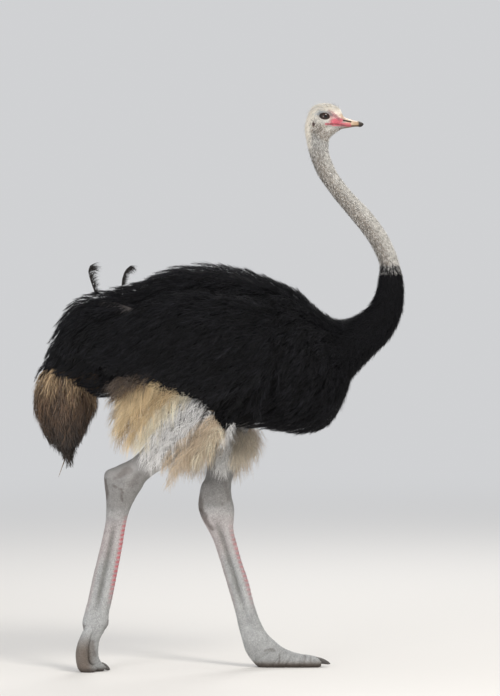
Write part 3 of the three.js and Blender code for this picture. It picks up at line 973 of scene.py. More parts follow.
def shape_leg(grid, t, angle, side):
    """Broad plates down the front of the shin and the toe's top, tendon grooves, creases and pads."""
    ankle = 5.0
    ahead = np.cos(angle)[None, :]
    beside = np.abs(np.sin(angle))[None, :]
    middle = grid.mean(axis=1, keepdims=True)
    outward = unit(grid - middle)
    travelled = np.concatenate([[0], np.cumsum(np.linalg.norm(np.diff(middle[:, 0], axis=0), axis=1))])
    phase = (travelled / SCUTE_HEIGHT)[:, None]
    saw = phase - np.floor(phase)
    plate = (saw ** 0.6) * (1 - ramp(saw, 0.86, 1.0))
    below_ankle = ramp(t, ankle + 2, ankle + 3.5)[:, None]
    front = ramp(ahead, 0.35, 0.8)
    push = 0.0018 * plate * front * below_ankle
    toes = TOES_ROW[side]
    shin = ramp(t, ankle + 2.5, ankle + 4) * (1 - ramp(t, toes - 2, toes))
    tendon = bell(ahead, -0.10, 0.26) * ramp(beside, 0.5, 0.85)
    push = push - 0.0085 * tendon * shin[:, None]
    knob = bell(t, ankle, 0.9)[:, None]
    push = push + 0.005 * knob * bell(ahead, 0.25, 0.35) * ramp(beside, 0.5, 0.9)
    push = push - 0.0035 * knob * bell(ahead, -0.45, 0.25) * ramp(beside, 0.4, 0.8)
    on_toe = ramp(t, toes + 0.5, toes + 1.5)[:, None]
    joint = phase * SCUTE_HEIGHT / TOE_PAD
    crease = bell(joint, np.round(joint), 0.09)
    push = push - 0.0040 * on_toe * crease * ramp(beside, 0.25, 0.8) * (1 - front)
    flat = grid.reshape(-1, 3)
    rough = noise(flat, 0.012, 21).reshape(grid.shape[:2]) * 0.0007
    moved = grid + outward * (push + rough)[:, :, None]
    return settle(moved)


# How far above the floor the lowest skin lies, so that the two never touch.
FLOOR_GAP = 0.0002


def settle(grid):
    """Presses whatever would go through the floor flat on it."""
    grid = grid.copy()
    grid[:, :, 2] = np.maximum(grid[:, :, 2], FLOOR_GAP)
    return grid


def sink_wing_front(p):
    """Moves the front of a wing inwards, so that it starts below the flank's coat."""
    moved = p.copy()
    moved[:, 1] -= np.sign(p[:, 1]) * 0.036 * ramp(p[:, 0], 0.13, 0.25)
    return moved


def wing_grid(side):
    """The flesh of a folded wing, below its feathers."""
    loft = wing(side)
    t = even_places(loft, 0.6, loft.last - 0.6, 16 * MM)
    grid = loft.points(t, circle(48), 24 * MM)
    return sink_wing_front(grid.reshape(-1, 3)).reshape(grid.shape)


def tail_grid():
    """The tail's core, below its feathers."""
    t = even_places(tail, 0, tail.last - 2, 16 * MM)
    return tail.points(t, circle(48), 34 * MM)


def side_number(side):
    """0 for the right side and 1 for the left one."""
    return list(SIDES).index(side)


def leg_chart(side, u0, u1):
    """The part of the bake map that a length of the leg fills: u0, v0, u1, v1."""
    low = 0.48 + 0.17 * side_number(side)
    return u0, low, u1, low + 0.15


def wing_chart(side):
    left = 0.5 * side_number(side)
    return left, 0.84, left + 0.45, 0.9


BODY_CHART = (0.0, 0.0, 1.0, 0.46)
NECK_CHART = (0, 0, 0.47, 0.46)
LOWER_NECK_CHART = (0.35, 0, 0.69, 0.46)
TAIL_CHART = (0.0, 0.92, 0.45, 0.98)
WHOLE_CHART = (0.02, 0.02, 0.98, 0.98)


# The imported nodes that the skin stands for.
FLESH = ["head", "neck_upper", "neck_middle", "neck_lower", "trunk"]
FLESH += [f"{part}_{side}" for part in ("shank", "tarsus", "toe_main", "toe_outer") for side in SIDES]


def build_skin():
    """One closed skin for the trunk, neck, head, lids, legs, wings and tail core."""
    grid = body_grid()
    flat = shape_neck(shape_head(grid.reshape(-1, 3)))
    skin = tube_object("skin", flat.reshape(grid.shape), BODY_CHART)
    pieces = []
    for row, side in enumerate(SIDES):
        pieces.append(tube_object(f"leg_{side}", leg_grid(side), leg_chart(side, 0.0, 0.8)))
        t = even_places(outer_toe(side), 0, outer_toe(side).last, 3.5 * MM)
        toe = settle(outer_toe(side).points(t, circle(40)))
        pieces.append(tube_object(f"toe_{side}", toe, leg_chart(side, 0.82, 1.0)))
        pieces.append(tube_object(f"wing_{side}", wing_grid(side), wing_chart(side)))
        for column, which in enumerate(EYE_TALL):
            left = 0.5 + 0.25 * row + 0.12 * column
            lid = lid_tube(side, which)
            pieces.append(tube_object(f"lid_{which}_{side}", lid, (left, 0.92, left + 0.1, 0.95)))
    pieces.append(tube_object("tail_core", tail_grid(), TAIL_CHART))
    unite(skin, pieces)
    paint_skin(skin)
    skin.data.materials.clear()
    finish_piece(skin, SKIN, "bare_skin", *FLESH)
    skin.data.materials.append(LEG_SKIN)
    on_leg = np.array([polygon.center.z < THIGH_TOP for polygon in skin.data.polygons])
    skin.data.polygons.foreach_set("material_index", on_leg.astype(np.int32))
    skin.data.shade_smooth()


# How near to the leg's own surface the thigh's skin counts as the leg's.
LEG_MARGIN = 6 * MM
# The tail core lies behind the first place, above the second and below the third.
TAIL_REGION = (-0.45, 0.76, 1.12)


def near_leg(p, side):
    """True where a point lies on the leg rather than on the body it grows from."""
    surface = leg_grid(side).reshape(-1, 3)
    tree = KDTree(len(surface))
    for number, corner in enumerate(surface):
        tree.insert(corner, number)
    tree.balance()
    own_side = p[:, 1] * SIDES[side] > 0
    on_leg = own_side & (p[:, 2] < SCALES_TOP)
    for number in np.flatnonzero(own_side & ~on_leg & (p[:, 2] < THIGH_TOP)):
        on_leg[number] = tree.find(p[number])[2] < LEG_MARGIN
    return on_leg


def paint_skin(skin):
    """Stores the skin's colours: the body's, each leg's and the tail core's."""
    p = places(skin.data)
    tint = body_tint(p)
    for side in SIDES:
        mine = near_leg(p, side)
        tint[mine] = leg_tint(p[mine], side)
    behind, low, high = TAIL_REGION
    on_tail = (p[:, 0] < behind) & (p[:, 2] < high) & (p[:, 2] > low)
    tint[on_tail] = TAIL_BROWN
    set_tint(skin.data, np.maximum(tint, 0))


# ---------------------------------------------------------------- bill, eyes, claws
BILL_TAN = (0.34, 0.225, 0.13)
BILL_BROWN = (0.14, 0.09, 0.055)
BILL_TIP = (0.016, 0.014, 0.013)
# Painted shade inside the nostril's slit.
NOSTRIL_SHADE = (0.012, 0.009, 0.008)
CLAW_GREY = (0.085, 0.078, 0.072)
CLAW_BASE = (0.17, 0.15, 0.13)
EYE_WHITE = (0.020, 0.014, 0.011)
IRIS = np.array((0.030, 0.013, 0.009))
PUPIL = (0.004, 0.004, 0.004)
MOUTH_GAP = 0.0009
NOSTRIL_LINE = (466, 2061.5, 493, 2056)


def mouth_height(x):
    """The height of the mouth's line along the bill."""
    return np.interp(x, [0.46, 0.50, 0.525, 0.545], [2.0435, 2.0430, 2.0438, 2.0450])


def bill_grid(upper):
    """Half of the bill: its round tip, the horn plate on it, the ridge on top and the nostrils beside it."""
    t = np.linspace(0, HEAD_START + 0.38, 150)
    angle = side_dense_angles(72)
    tuck = 4.5 * MM * ramp(t, HEAD_START - 0.32, HEAD_START + 0.38)
    grid = body.points(t, angle, tuck)
    round_tip = np.sqrt(np.clip(1 - (1 - np.clip(t / 0.9, 0, 1)) ** 2, 0.0004, 1))
    middle = grid.mean(axis=1, keepdims=True)
    grid = middle + (grid - middle) * round_tip[:, None, None]
    x, y, z = grid[..., 0], grid[..., 1], grid[..., 2]
    mouth = mouth_height(x)
    beak = 1 - ramp(t, HEAD_START - 0.8, HEAD_START + 0.2)[:, None]
    slim = bell(x, 0.510, 0.017) * ramp(np.abs(z - mouth), 0.002, 0.012)
    z -= slim * np.where(z > mouth, 0.0045, -0.0022)
    if upper:
        ridge = bell(y, 0, 0.0045) * ramp(z, mouth + 0.004, mouth + 0.010)
        z += 0.0014 * ridge * beak * ramp(t, 0.6, 1.2)[:, None]
        nail = ramp(x, 0.519, 0.524)
        z += 0.0008 * nail * np.sign(z - mouth)
        y += 0.0008 * nail * np.sign(y)
        z[:] = np.maximum(z, mouth + MOUTH_GAP / 2)
    else:
        y *= 1 - 0.06 * beak
        x -= 0.002 * beak
        groove_below = bell(y, 0, 0.006) * ramp(mouth - z, 0.004, 0.008)
        z += 0.0012 * groove_below * ramp(t, 1.2, 1.8)[:, None] * beak
        z[:] = np.where(z > mouth + 0.0015, mouth + 0.0012, np.minimum(z, mouth - MOUTH_GAP / 2))
    flat = grid.reshape(-1, 3)
    if upper:
        beside = ramp(np.abs(flat[:, 1]), 0.004, 0.010)
        slit = streak(flat, *NOSTRIL_LINE, 3.4) * beside
        rim = streak(flat, 465, 2062, 494, 2056, 7.5) * beside
        inward = unit(grid.mean(axis=1, keepdims=True) - grid).reshape(-1, 3)
        flat += inward * (0.0055 * slit - 0.0008 * (rim - slit))[:, None]
    return flat.reshape(grid.shape)


def bill_tint(p, upper):
    """Cream horn that grows tan and dark at the tip, red at the gape, with painted shade in the nostril."""
    x = p[:, 0] / MM
    side_down = p[:, 2] - mouth_height(p[:, 0])
    tint = plain(BILL_CREAM if upper else BILL_BROWN, p)
    if upper:
        tint = paint(tint, 0.75 * ramp(x, 490, 515) * (1 - ramp(side_down, 0.004, 0.012)), BILL_TAN)
        tint = paint(tint, 0.5 * ramp(x, 498, 518), BILL_TAN)
    tint = tint * (1 + 0.10 * noise(p * [0.35, 1, 1], 0.004, 13))[:, None]
    tint = paint(tint, 0.8 * streak(p, 460, 2049, 488, 2047, 9), RED_SKIN)
    tint = paint(tint, 0.8 * streak(p, 460, 2041, 492, 2041, 5), RED_SKIN)
    tint = paint(tint, 1 - ramp(x, 462, 484), head_tint(p))
    tint = paint(tint, 0.95 * ramp(x + 1.5 * noise(p, 0.004, 4), 517, 526), BILL_TIP)
    if upper:
        beside = ramp(np.abs(p[:, 1]), 0.004, 0.010)
        # The nostril's slit is painted dark as shade.
        tint = paint(tint, beside * streak(p, *NOSTRIL_LINE, 4.2), NOSTRIL_SHADE)
    return tint


def build_bill():
    """The upper and lower horn of the bill."""
    for name, upper in (("bill_upper", True), ("bill_lower", False)):
        bill = tube_object(f"{name}_horn", bill_grid(upper), WHOLE_CHART)
        set_tint(bill.data, bill_tint(places(bill.data), upper))
        finish_piece(bill, HORN, "bill", name)


PUPIL_EDGE = 0.29
IRIS_EDGE = 0.66


def build_eye(side):
    """An eyeball with a cornea that stands out, a dark brown iris and a black pupil."""
    polar = np.linspace(0.0, math.pi, 70)
    round_about = circle(80)
    axis = unit(np.array([0.22, SIDES[side], -0.03]))
    right = unit(np.cross([0, 0, 1.0], axis))
    up = np.cross(axis, right)
    cornea = EYE_RADIUS * (0.985 + 0.035 * (1 - ramp(polar, 0.45, 0.85)))
    polar_place = np.clip(polar, 0.01, math.pi - 0.01)
    ring = right * np.cos(round_about)[:, None] + up * np.sin(round_about)[:, None]
    out = np.cos(polar_place)[:, None, None] * axis + np.sin(polar_place)[:, None, None] * ring
    grid = eye_centre(side) + out * cornea[:, None, None]
    ball = tube_object(f"eyeball_{side}", grid, WHOLE_CHART)
    p = places(ball.data)
    away = unit(p - eye_centre(side))
    angle = np.arccos(np.clip(away @ axis, -1, 1))
    spoke = np.arctan2(away @ up, away @ right)
    streaks = 0.5 + 0.5 * np.sin(37 * spoke + 3 * np.sin(11 * spoke)) * np.sin(53 * spoke + 2.0)
    tint = plain(EYE_WHITE, p)
    iris = ramp(angle, PUPIL_EDGE - 0.01, PUPIL_EDGE + 0.02) * (1 - ramp(angle, IRIS_EDGE - 0.06, IRIS_EDGE))
    tint = paint(tint, iris, IRIS * (0.6 + 0.7 * streaks)[:, None])
    tint = paint(tint, 1 - ramp(angle, PUPIL_EDGE - 0.02, PUPIL_EDGE + 0.01), PUPIL)
    set_tint(ball.data, tint)
    finish_piece(ball, EYE_GLOSS, "eye", f"eye_{side}")


def build_claw(side):
    """The blunt, grooved claw of a main toe."""
    loft = Loft(CLAW[side], LEG_Y[side][2])
    t = np.linspace(0, loft.last, 60)
    grid = loft.points(t, circle(40), 0)
    middle = grid.mean(axis=1, keepdims=True)
    end = np.sqrt(np.clip(1 - ((t - loft.last + 0.35) / 0.35).clip(0, 1) ** 2, 0.002, 1))
    grid = middle + (grid - middle) * end[:, None, None]
    growth = 0.00012 * np.sin(t * 26)[:, None, None] * unit(grid - middle)
    claw = tube_object(f"claw_{side}_horn", settle(grid + growth), WHOLE_CHART)
    p = places(claw.data)
    along = np.clip((p[:, 0] - p[:, 0].min()) / np.ptp(p[:, 0]), 0, 1)
    grain = noise(p * [0.2, 1, 1], 0.003, 6)
    tint = plain(CLAW_GREY, p) * (1 + 0.35 * grain)[:, None]
    tint = paint(tint, 0.6 * (1 - ramp(along, 0.05, 0.3)), CLAW_BASE)
    set_tint(claw.data, tint)
    finish_piece(claw, HORN, "claw", f"claw_{side}")


# ---------------------------------------------------------------- coat
DOWN = np.array([0.0, 0.0, -1.0])
# The side of the small square of the bake map that each strand fills.
BAKE_PATCH = 0.003
# Steps along and around that spread any number of places evenly over a square.
EVEN_STEPS = (0.7548776662466927, 0.5698402909980532)
BLACK_FEATHER = np.array((0.0062, 0.0062, 0.0076))
BODY_COAT_PIECES = 5
SPINE_STEPS = 5
ROOT_SUNK = 0.004
BARB_POINTS = 5
BARB_TAPER = [1.0, 0.9, 0.7, 0.5, 0.1]
# How many feathers or single strands grow on each part.
COUNT = {
    "body": 2200, "wing": 560, "thigh": 120, "tail": 430,
    "down": 17000, "bristles": 420, "neck": 12200, "lashes": 34, "upright": 240, "loose": 150,
}


class Hide:
    """A part of the skin as a fine grid of points, on which feathers take root and along which they lie."""

    def __init__(self, loft, start, end, rings, sides, inset, chart, shape=None):
        self.t = np.linspace(start, end, rings)
        self.angle = circle(sides)
        self.sides = sides
        self.chart = chart
        depth = inset(self.t) if callable(inset) else inset
        self.point = loft.points(self.t, self.angle, depth)
        if shape is not None:
            self.point = shape(self.point.reshape(-1, 3)).reshape(self.point.shape)
        self.ahead = np.gradient(self.point, axis=0)
        self.around = (np.roll(self.point, -1, axis=1) - np.roll(self.point, 1, axis=1)) / 2
        normal = unit(np.cross(self.ahead, self.around))
        outward = np.einsum("ijk,ijk->", normal, self.point - self.point.mean(axis=1, keepdims=True))
        self.normal = normal * np.sign(outward)

    def sample(self, grid, u, v):
        """Values of a grid at fractional places u along and v around."""
        u = np.clip(u, 0, len(self.t) - 1.0001)
        i = u.astype(int)
        j = np.floor(v).astype(int)
        f, g = (u - i)[:, None], (v - j)[:, None]
        j0, j1 = j % self.sides, (j + 1) % self.sides
        low = grid[i, j0] * (1 - g) + grid[i, j1] * g
        high = grid[i + 1, j0] * (1 - g) + grid[i + 1, j1] * g
        return low * (1 - f) + high * f

    def roots(self, count, density=None):
        """Evenly spread places on the hide, thicker where the density function of a point is higher."""
        area = np.linalg.norm(np.cross(self.ahead, self.around), axis=2)
        if density is not None:
            share = density(self.point.reshape(-1, 3), self.normal.reshape(-1, 3))
            area = area * share.reshape(area.shape)
        per_ring = area.sum(axis=1)
        ring_sum = np.concatenate([[0], np.cumsum((per_ring[:-1] + per_ring[1:]) / 2)])
        k = np.arange(1, count + 1)
        first, second = ((0.5 + k * step) % 1 for step in EVEN_STEPS)
        u = np.interp(first * ring_sum[-1], ring_sum, np.arange(len(self.t)))
        ring = area[np.round(u).astype(int)]
        turn_sum = np.hstack([np.zeros((count, 1)), np.cumsum(ring, axis=1)])
        wanted = second * turn_sum[:, -1]
        j = np.clip((turn_sum <= wanted[:, None]).sum(axis=1) - 1, 0, self.sides - 1)
        below = turn_sum[np.arange(count), j]
        v = j + (wanted - below) / np.maximum(ring[np.arange(count), j], 1e-12)
        return u, v

    def bake_place(self, u, v):
        u0, v0, u1, v1 = self.chart
        along = u0 + (u1 - u0) * u / (len(self.t) - 1)
        return np.stack([along, v0 + (v1 - v0) * (v % self.sides) / self.sides], -1)

    def walk(self, u, v, length, steps, lie, leaves=None):
        """Paths over the hide from the roots, each as long as told, the way that lie(point, tailward) gives.

        Gives their points and the hide's normals there. Past the hide's end, or where leaves(normal) is true,
        a path goes straight on.
        """
        u, v = u.copy(), v.copy()
        free = np.zeros(len(u), bool)
        last_way = np.zeros((len(u), 3))
        point = self.sample(self.point, u, v)
        points, normals = [point], [unit(self.sample(self.normal, u, v))]
        stride = length / steps
        for _ in range(steps):
            ahead, around = self.sample(self.ahead, u, v), self.sample(self.around, u, v)
            normal = unit(np.cross(ahead, around))
            way = lie(points[-1], unit(ahead))
            way = unit(way - normal * dot(way, normal)[:, None])
            if leaves is not None:
                free |= leaves(normals[-1])
            way = np.where(free[:, None], unit(last_way + 0.25 * DOWN), way)
            last_way = way
            aa = dot(ahead, ahead)
            bb = dot(around, around)
            ab = dot(ahead, around)
            wa = dot(way, ahead)
            wb = dot(way, around)
            det = np.maximum(aa * bb - ab * ab, 1e-14)
            du = (wa * bb - wb * ab) / det * stride
            dv = (wb * aa - wa * ab) / det * stride
            free |= (u + du > len(self.t) - 1.001) | (u + du < 0)
            u = np.where(free, u, np.clip(u + du, 0, len(self.t) - 1.001))
            v = np.where(free, v, v + dv)
            straight = points[-1] + way * stride[:, None]
            points.append(np.where(free[:, None], straight, self.sample(self.point, u, v)))
            here = unit(self.sample(self.normal, u, v))
            normals.append(np.where(free[:, None], normals[-1], here))
        return np.stack(points, 1), np.stack(normals, 1)


def blend_rows(values, at):
    """Values given along each row, read at places counted in steps, going straight on past the last one."""
    last = values.shape[1] - 1
    i = np.clip(np.floor(at).astype(int), 0, last - 1)
    f = (at - i)[..., None]
    row = np.arange(len(values)).reshape(-1, *([1] * (at.ndim - 1)))
    return values[row, i] * (1 - f) + values[row, i + 1] * f


def strands(paths, widths, normals, thickness):
    """Closed, three-sided, tapered strands along paths whose last points are their tips.

    Gives the points, the triangles, and the places of one strand's triangle corners in its bake patch.
    """
    count, rows = paths.shape[:2]
    rings = rows - 1
    ahead = unit(np.gradient(paths, axis=1))[:, :rings]
    normals = normals[:, :rings]
    aside = unit(np.cross(ahead, normals))
    above = np.cross(aside, ahead)
    base = paths[:, :rings]
    half = (widths / 2)[:, :rings, None]
    ring = np.stack([base + aside * half, base - aside * half, base + above * half * 2 * thickness], axis=2)
    verts = np.concatenate([ring.reshape(count, rings * 3, 3), paths[:, -1:]], axis=1)
    each = []
    for r in range(rings - 1):
        for k in range(3):
            a, b = 3 * r + k, 3 * r + (k + 1) % 3
            each += [(a, b, b + 3), (a, b + 3, a + 3)]
    top = 3 * (rings - 1)
    each += [(top, top + 1, 3 * rings), (top + 1, top + 2, 3 * rings), (top + 2, top, 3 * rings), (2, 1, 0)]
    each = np.array(each)[:, ::-1]
    per = rings * 3 + 1
    faces = (each[None] + (np.arange(count) * per)[:, None, None]).reshape(-1, 3)
    along = np.append(np.repeat(np.arange(rings), 3), rings) / rings
    beside = np.append(np.tile([0.0, 0.5, 1.0], rings), 0.5)
    patch = np.stack([beside - 0.5, along - 0.5], -1)[each.ravel()] * BAKE_PATCH
    return verts.reshape(-1, 3), faces, patch


def strand_object(name, paths, widths, normals, tint, bake, coat, thickness=0.4):
    """One piece of many strands. tint gives a colour for each strand, or for each strand and point.

    coat is the piece's material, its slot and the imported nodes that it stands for.
    """
    verts, faces, patch = strands(paths, widths, normals, thickness)
    rows = paths.shape[1]
    if tint.ndim == 2:
        tint = np.repeat(tint[:, None], rows, axis=1)
    ring_tint = np.repeat(tint[:, : rows - 1], 3, axis=1)
    point_tint = np.concatenate([ring_tint, tint[:, -1:]], axis=1).reshape(-1, 3)
    uv = (np.clip(bake, 0.002, 0.998)[:, None] + patch[None]).reshape(-1, 2)
    piece = make_object(name, verts, faces, np.clip(point_tint, 0, 1), uv)
    finish_piece(piece, *coat)


def bent_paths(base, way, length, bend_way, bend, rows=BARB_POINTS):
    """Paths that leave their bases along way and bend more and more towards bend_way."""
    grow = np.linspace(0, 1, rows)
    path = base[:, None] + way[:, None] * (length[:, None] * grow)[..., None]
    return path + bend_way * (bend * length[:, None] * grow**2)[..., None]


def feather_barbs(spine, normal, style, reach, width):
    """The barbs of loose feathers: strands that leave both sides of each spine and sweep towards its tip.

    spine and normal are rows of points. reach is how far the barbs spread, width how thick each is.
    """
    draw = np.random.default_rng(style["seed"] + 1)
    barbs, rows = style["barbs"], 3
    count, steps = spine.shape[0], spine.shape[1] - 1
    start = np.linspace(0.0, 0.82, barbs)[None] + draw.uniform(-0.05, 0.05, (count, barbs))
    span = style["fan"] * draw.uniform(0.75, 1.25, (count, barbs))
    side = draw.uniform(-1.15, 1.15, (count, barbs))
    grow = np.linspace(0, 1, rows)
    at = (np.clip(start, 0, 1)[..., None] + span[..., None] * grow) * steps
    at = np.minimum(at, steps * 1.12)
    line = blend_rows(spine, at)
    up = unit(blend_rows(normal, np.minimum(at, steps)))
    ahead = unit(np.diff(spine, axis=1))
    ahead = blend_rows(np.concatenate([ahead, ahead[:, -1:]], axis=1), np.minimum(at, steps))
    across = unit(np.cross(ahead, up))
    width_here = np.sin(math.pi * np.clip(0.18 + 0.75 * start, 0, 1)) * 0.6 + 0.4
    out = (reach[:, None] * width_here * side)[..., None] * (0.25 + 0.75 * grow)
    wave = 0.5 * reach[:, None, None] * np.sin(grow * draw.uniform(1.5, 4.0, (count, barbs, 1)) * math.pi)
    wave = wave * draw.uniform(-0.5, 0.5, (count, barbs, 1))
    rise = style["lift"] * draw.uniform(-0.6, 1.4, (count, barbs, 1)) * grow**1.5
    path = line + across * (out + wave)[..., None] + up * rise[..., None]
    taper = np.interp(grow, [0, 0.5, 1], [0.8, 1.0, 0.1])
    widths = width[:, None, None] * draw.uniform(0.7, 1.3, (count, barbs, 1)) * taper
    flat = count * barbs
    return path.reshape(flat, rows, 3), widths.reshape(flat, rows), up.reshape(flat, rows, 3)


# A coat's usual feathers: barbs on each, how far they reach along and out, how high they lift, how untidy the
# feathers lie, and where they leave the hide.
COAT_STYLE = {"barbs": 16, "fan": 0.45, "spread": 0.22, "lift": 0.008, "tousle": 0.16, "leaves": None}


def coat_piece(name, hide, u, v, style, tint_of, coat):
    """Feathers rooted at u, v on a hide, in one piece."""
    style = COAT_STYLE | style
    draw = np.random.default_rng(style["seed"])
    root = hide.sample(hide.point, u, v)
    length = style["length"](root) * draw.uniform(0.8, 1.2, len(root))
    turn = draw.normal(0, style["tousle"], (len(root), 3))

    def lie(point, tailward):
        return style["lie"](point, tailward) + turn

    spine, normal = hide.walk(u, v, length, SPINE_STEPS, lie, style["leaves"])
    travelled = np.linspace(0, 1, SPINE_STEPS + 1)[None] * length[:, None]
    depth = style["depth"](root) * draw.uniform(0.5, 1.02, len(root))
    height = depth[:, None] * (1 - np.exp(-travelled / style["rise"])) - ROOT_SUNK * (travelled == 0)
    spine = spine + normal * height[..., None]
    path, widths, up = feather_barbs(spine, normal, style, length * style["spread"], barb_width(root) * MM)
    each = np.repeat(np.arange(len(root)), style["barbs"])
    tint = tint_of(path[:, 0], path[:, -1], draw, each)
    strand_object(name, path, widths, up, tint, hide.bake_place(u, v)[each], coat)


def black_tint(root, tip, draw, each):
    """Black, with a shade for each feather and each barb, and a few paler barbs."""
    feather = draw.uniform(0.5, 1.5, each.max() + 1)[each]
    barb = draw.uniform(0.3, 1.9, len(each)) + 1.6 * (draw.uniform(0, 1, len(each)) > 0.93)
    return BLACK_FEATHER * (feather * barb)[:, None]


def body_lie(point, tailward):
    """Tailward along the body, drooping down its flanks, more so towards the rump."""
    flank = ramp(np.abs(point[:, 1]), 0.08, 0.22)
    droop = 0.35 + 0.75 * flank + 0.3 * ramp(-point[:, 0], 0.35, 0.6)
    droop = droop * (1 - 0.75 * ramp(point[:, 0], 0.30, 0.50))
    return tailward + droop[:, None] * DOWN


def steady(value):
    """The same length or depth for every feather of a coat."""
    return lambda root: np.full(len(root), value)


def graded(axis, at, values):
    """A length, width or depth that changes along the bird, axis 0, or with height, axis 2."""
    return lambda root: np.interp(root[:, axis], at, values)


def body_length(root):
    """How long the trunk's feathers are: short at the neck and the rump, and low on the belly."""
    x, z = root[:, 0], root[:, 2]
    at = [-0.66, -0.5, -0.3, 0.2, 0.42, 0.55, 0.7]
    length = np.interp(x, at, [0.05, 0.085, 0.10, 0.085, 0.060, 0.034, 0.028])
    return np.where(z < 1.05, np.minimum(length, 0.06), length)


barb_width = graded(0, [0.38, 0.52, 0.70], [2.1, 1.4, 1.0])
body_depth = graded(
    0, [-0.66, -0.6, -0.45, 0.35, 0.48, 0.56, 0.7], [0.012, 0.020, 0.030, 0.030, 0.018, 0.009, 0.006]
)


def wing_edges(x):
    """The height of the wing's lower and top edges at a place along the body, in metres."""
    rows = np.array(WING)[::-1] * MM
    return np.interp(x, rows[:, 2], rows[:, 3]), np.interp(x, rows[:, 0], rows[:, 1])


def coat_edge(x):
    """The height at which the black coat of the flank ends and the white plumes begin, in metres."""
    at = [-0.42, -0.29, -0.21, -0.10, -0.07, -0.02, 0.005, 0.015, 0.06, 0.10]
    return np.interp(x, at, [1.100, 1.094, 1.074, 1.066, 1.036, 1.024, 0.985, 0.940, 0.925, 0.880])


def bare_of_wing(point, normal):
    """0 where a wing lies over the body, 1 elsewhere."""
    low, top = wing_edges(point[:, 0])
    x, z = point[:, 0], point[:, 2]
    under = (x > -0.40) & (x < 0.15) & (z > low + 0.05) & (z < top - 0.05) & (np.abs(point[:, 1]) > 0.14)
    over_wing = (x > -0.42) & (x < 0.26) & (z > top - 0.05) & (z < top + 0.06)
    shoulder = ramp(x, 0.12, 0.26)
    return np.where(under, 0.04, 1.0) * (1 + 1.4 * shoulder + 0.5 * over_wing)


body_hide = Hide(
    body, BLACK_START + 1.6, BODY_END - 0.02, 420, 256, lambda t: coat_depth(t) - 0.001, BODY_CHART,
)


def build_body_coat():
    """The trunk's feathers, in a few pieces that each cover all of it thinly."""
    style = dict(length=body_length, lie=body_lie, depth=body_depth, rise=0.035, barbs=22, spread=0.24)
    u, v = body_hide.roots(COUNT["body"], bare_of_wing)
    for part in range(BODY_COAT_PIECES):
        lot = slice(part, None, BODY_COAT_PIECES)
        style["seed"] = 11 + 10 * part
        coat_piece(f"body_feathers_{part + 1}", body_hide, u[lot], v[lot], style, black_tint, BLACK_COAT)


def build_wing_coat(side):
    """Black feathers over the outer face of a wing, which hang over the plumes' roots."""
    sign = SIDES[side]
    loft = wing(side)
    hide = Hide(loft, 0.5, loft.last - 0.5, 160, 160, 23 * MM, wing_chart(side), sink_wing_front)

    def outer_face(point, normal):
        above_plumes = point[:, 2] > coat_edge(point[:, 0]) + 0.022
        on_top = ramp(normal[:, 2], -0.2, 0.3)
        in_front = ramp(normal[:, 0], 0.1, 0.4)
        facing = np.maximum(ramp(normal[:, 1] * sign, -0.35, 0.15), on_top)
        return (facing + 1.2 * on_top + in_front) * above_plumes

    def lie(point, tailward):
        below_top = wing_edges(point[:, 0])[1] - point[:, 2]
        droop = (0.55 + 0.5 * ramp(-point[:, 0], -0.1, 0.35)) * (0.15 + 0.85 * ramp(below_top, 0.03, 0.14))
        return tailward + droop[:, None] * DOWN

    def leaves(normal):
        return (normal[:, 1] * sign < 0.62) & (normal[:, 2] < -0.3)

    def length(root):
        return np.clip(root[:, 2] - coat_edge(root[:, 0]), 0.026, 0.108)

    seed = 71 + side_number(side)
    depth = steady(0.024)
    style = dict(seed=seed, length=length, lie=lie, depth=depth, rise=0.03, barbs=21, leaves=leaves)
    u, v = hide.roots(COUNT["wing"], outer_face)
    coat_piece(f"wing_feathers_{side}", hide, u, v, style, black_tint, (*BLACK_COAT, f"wing_{side}"))


def neck_cover(point, normal):
    """Where down grows on the head and neck: thin round the eyes, ears and mouth, thick on the crown."""
    along, across, _ = eye_frame(point)
    opening = np.hypot(along / EYE_LONG, across / EYE_TALL["upper"])
    beside = ramp(np.abs(point[:, 1]), 0.012, 0.02)
    cover = 1 - beside * (1 - ramp(opening, 1.35, 2.4))
    cover *= 1 - beside * blob(point, 354, 2047, 8, 12, 0, 0.4)
    cover *= 1 - 0.96 * beside * streak(point, 396, 2046, 480, 2043, 15)
    cover *= 1 - 0.96 * beside * blob(point, 440, 2066, 30, 24)
    cover *= 1 - ramp(point[:, 0], 0.446, 0.458) * ramp(point[:, 2], 1.98, 2.0)
    crown = ramp(point[:, 2], 2.085, 2.11)
    return cover * (1 + 1.5 * crown + 0.8 * ramp(point[:, 2], 1.95, 2.03))


DOWN_WIDTH = 0.00082
BRISTLE_WIDTH = 0.0006
NECK_FEATHER_WIDTH = 0.0016
BRISTLE_LENGTH = 0.014
WHITE_DOWN = np.array((0.90, 0.88, 0.84))
CREAM_DOWN = np.array((0.90, 0.83, 0.70))
GREY_DOWN = np.array((0.30, 0.297, 0.29))
BROWN_DOWN = np.array((0.085, 0.075, 0.068))


def short_coat(name, hide, count, cover, length_of, width, stand, tint_of, coat, seed):
    """Short, single strands all over a hide. stand is how far they stand off it, least and most."""
    draw = np.random.default_rng(seed)
    u, v = hide.roots(count, cover)
    u = np.clip(u + draw.uniform(-1.5, 1.5, count), 0, len(hide.t) - 1.01)
    v = v + draw.uniform(-1.5, 1.5, count)
    root = hide.sample(hide.point, u, v)
    length = length_of(root) * draw.uniform(0.6, 1.5, count)
    turn = draw.normal(0, 0.4, (count, 3))
    path, normal = hide.walk(u, v, length, 2, lambda point, tailward: tailward + turn)
    rise = draw.uniform(*stand, count) * length
    path = path + normal * (rise[:, None] * np.array([-0.06, 0.5, 1.0]))[..., None]
    widths = np.outer(draw.uniform(0.75, 1.3, count) * width, [1.0, 0.8, 0.1])
    strand_object(name, path, widths, normal, tint_of(root, draw), hide.bake_place(u, v), coat)


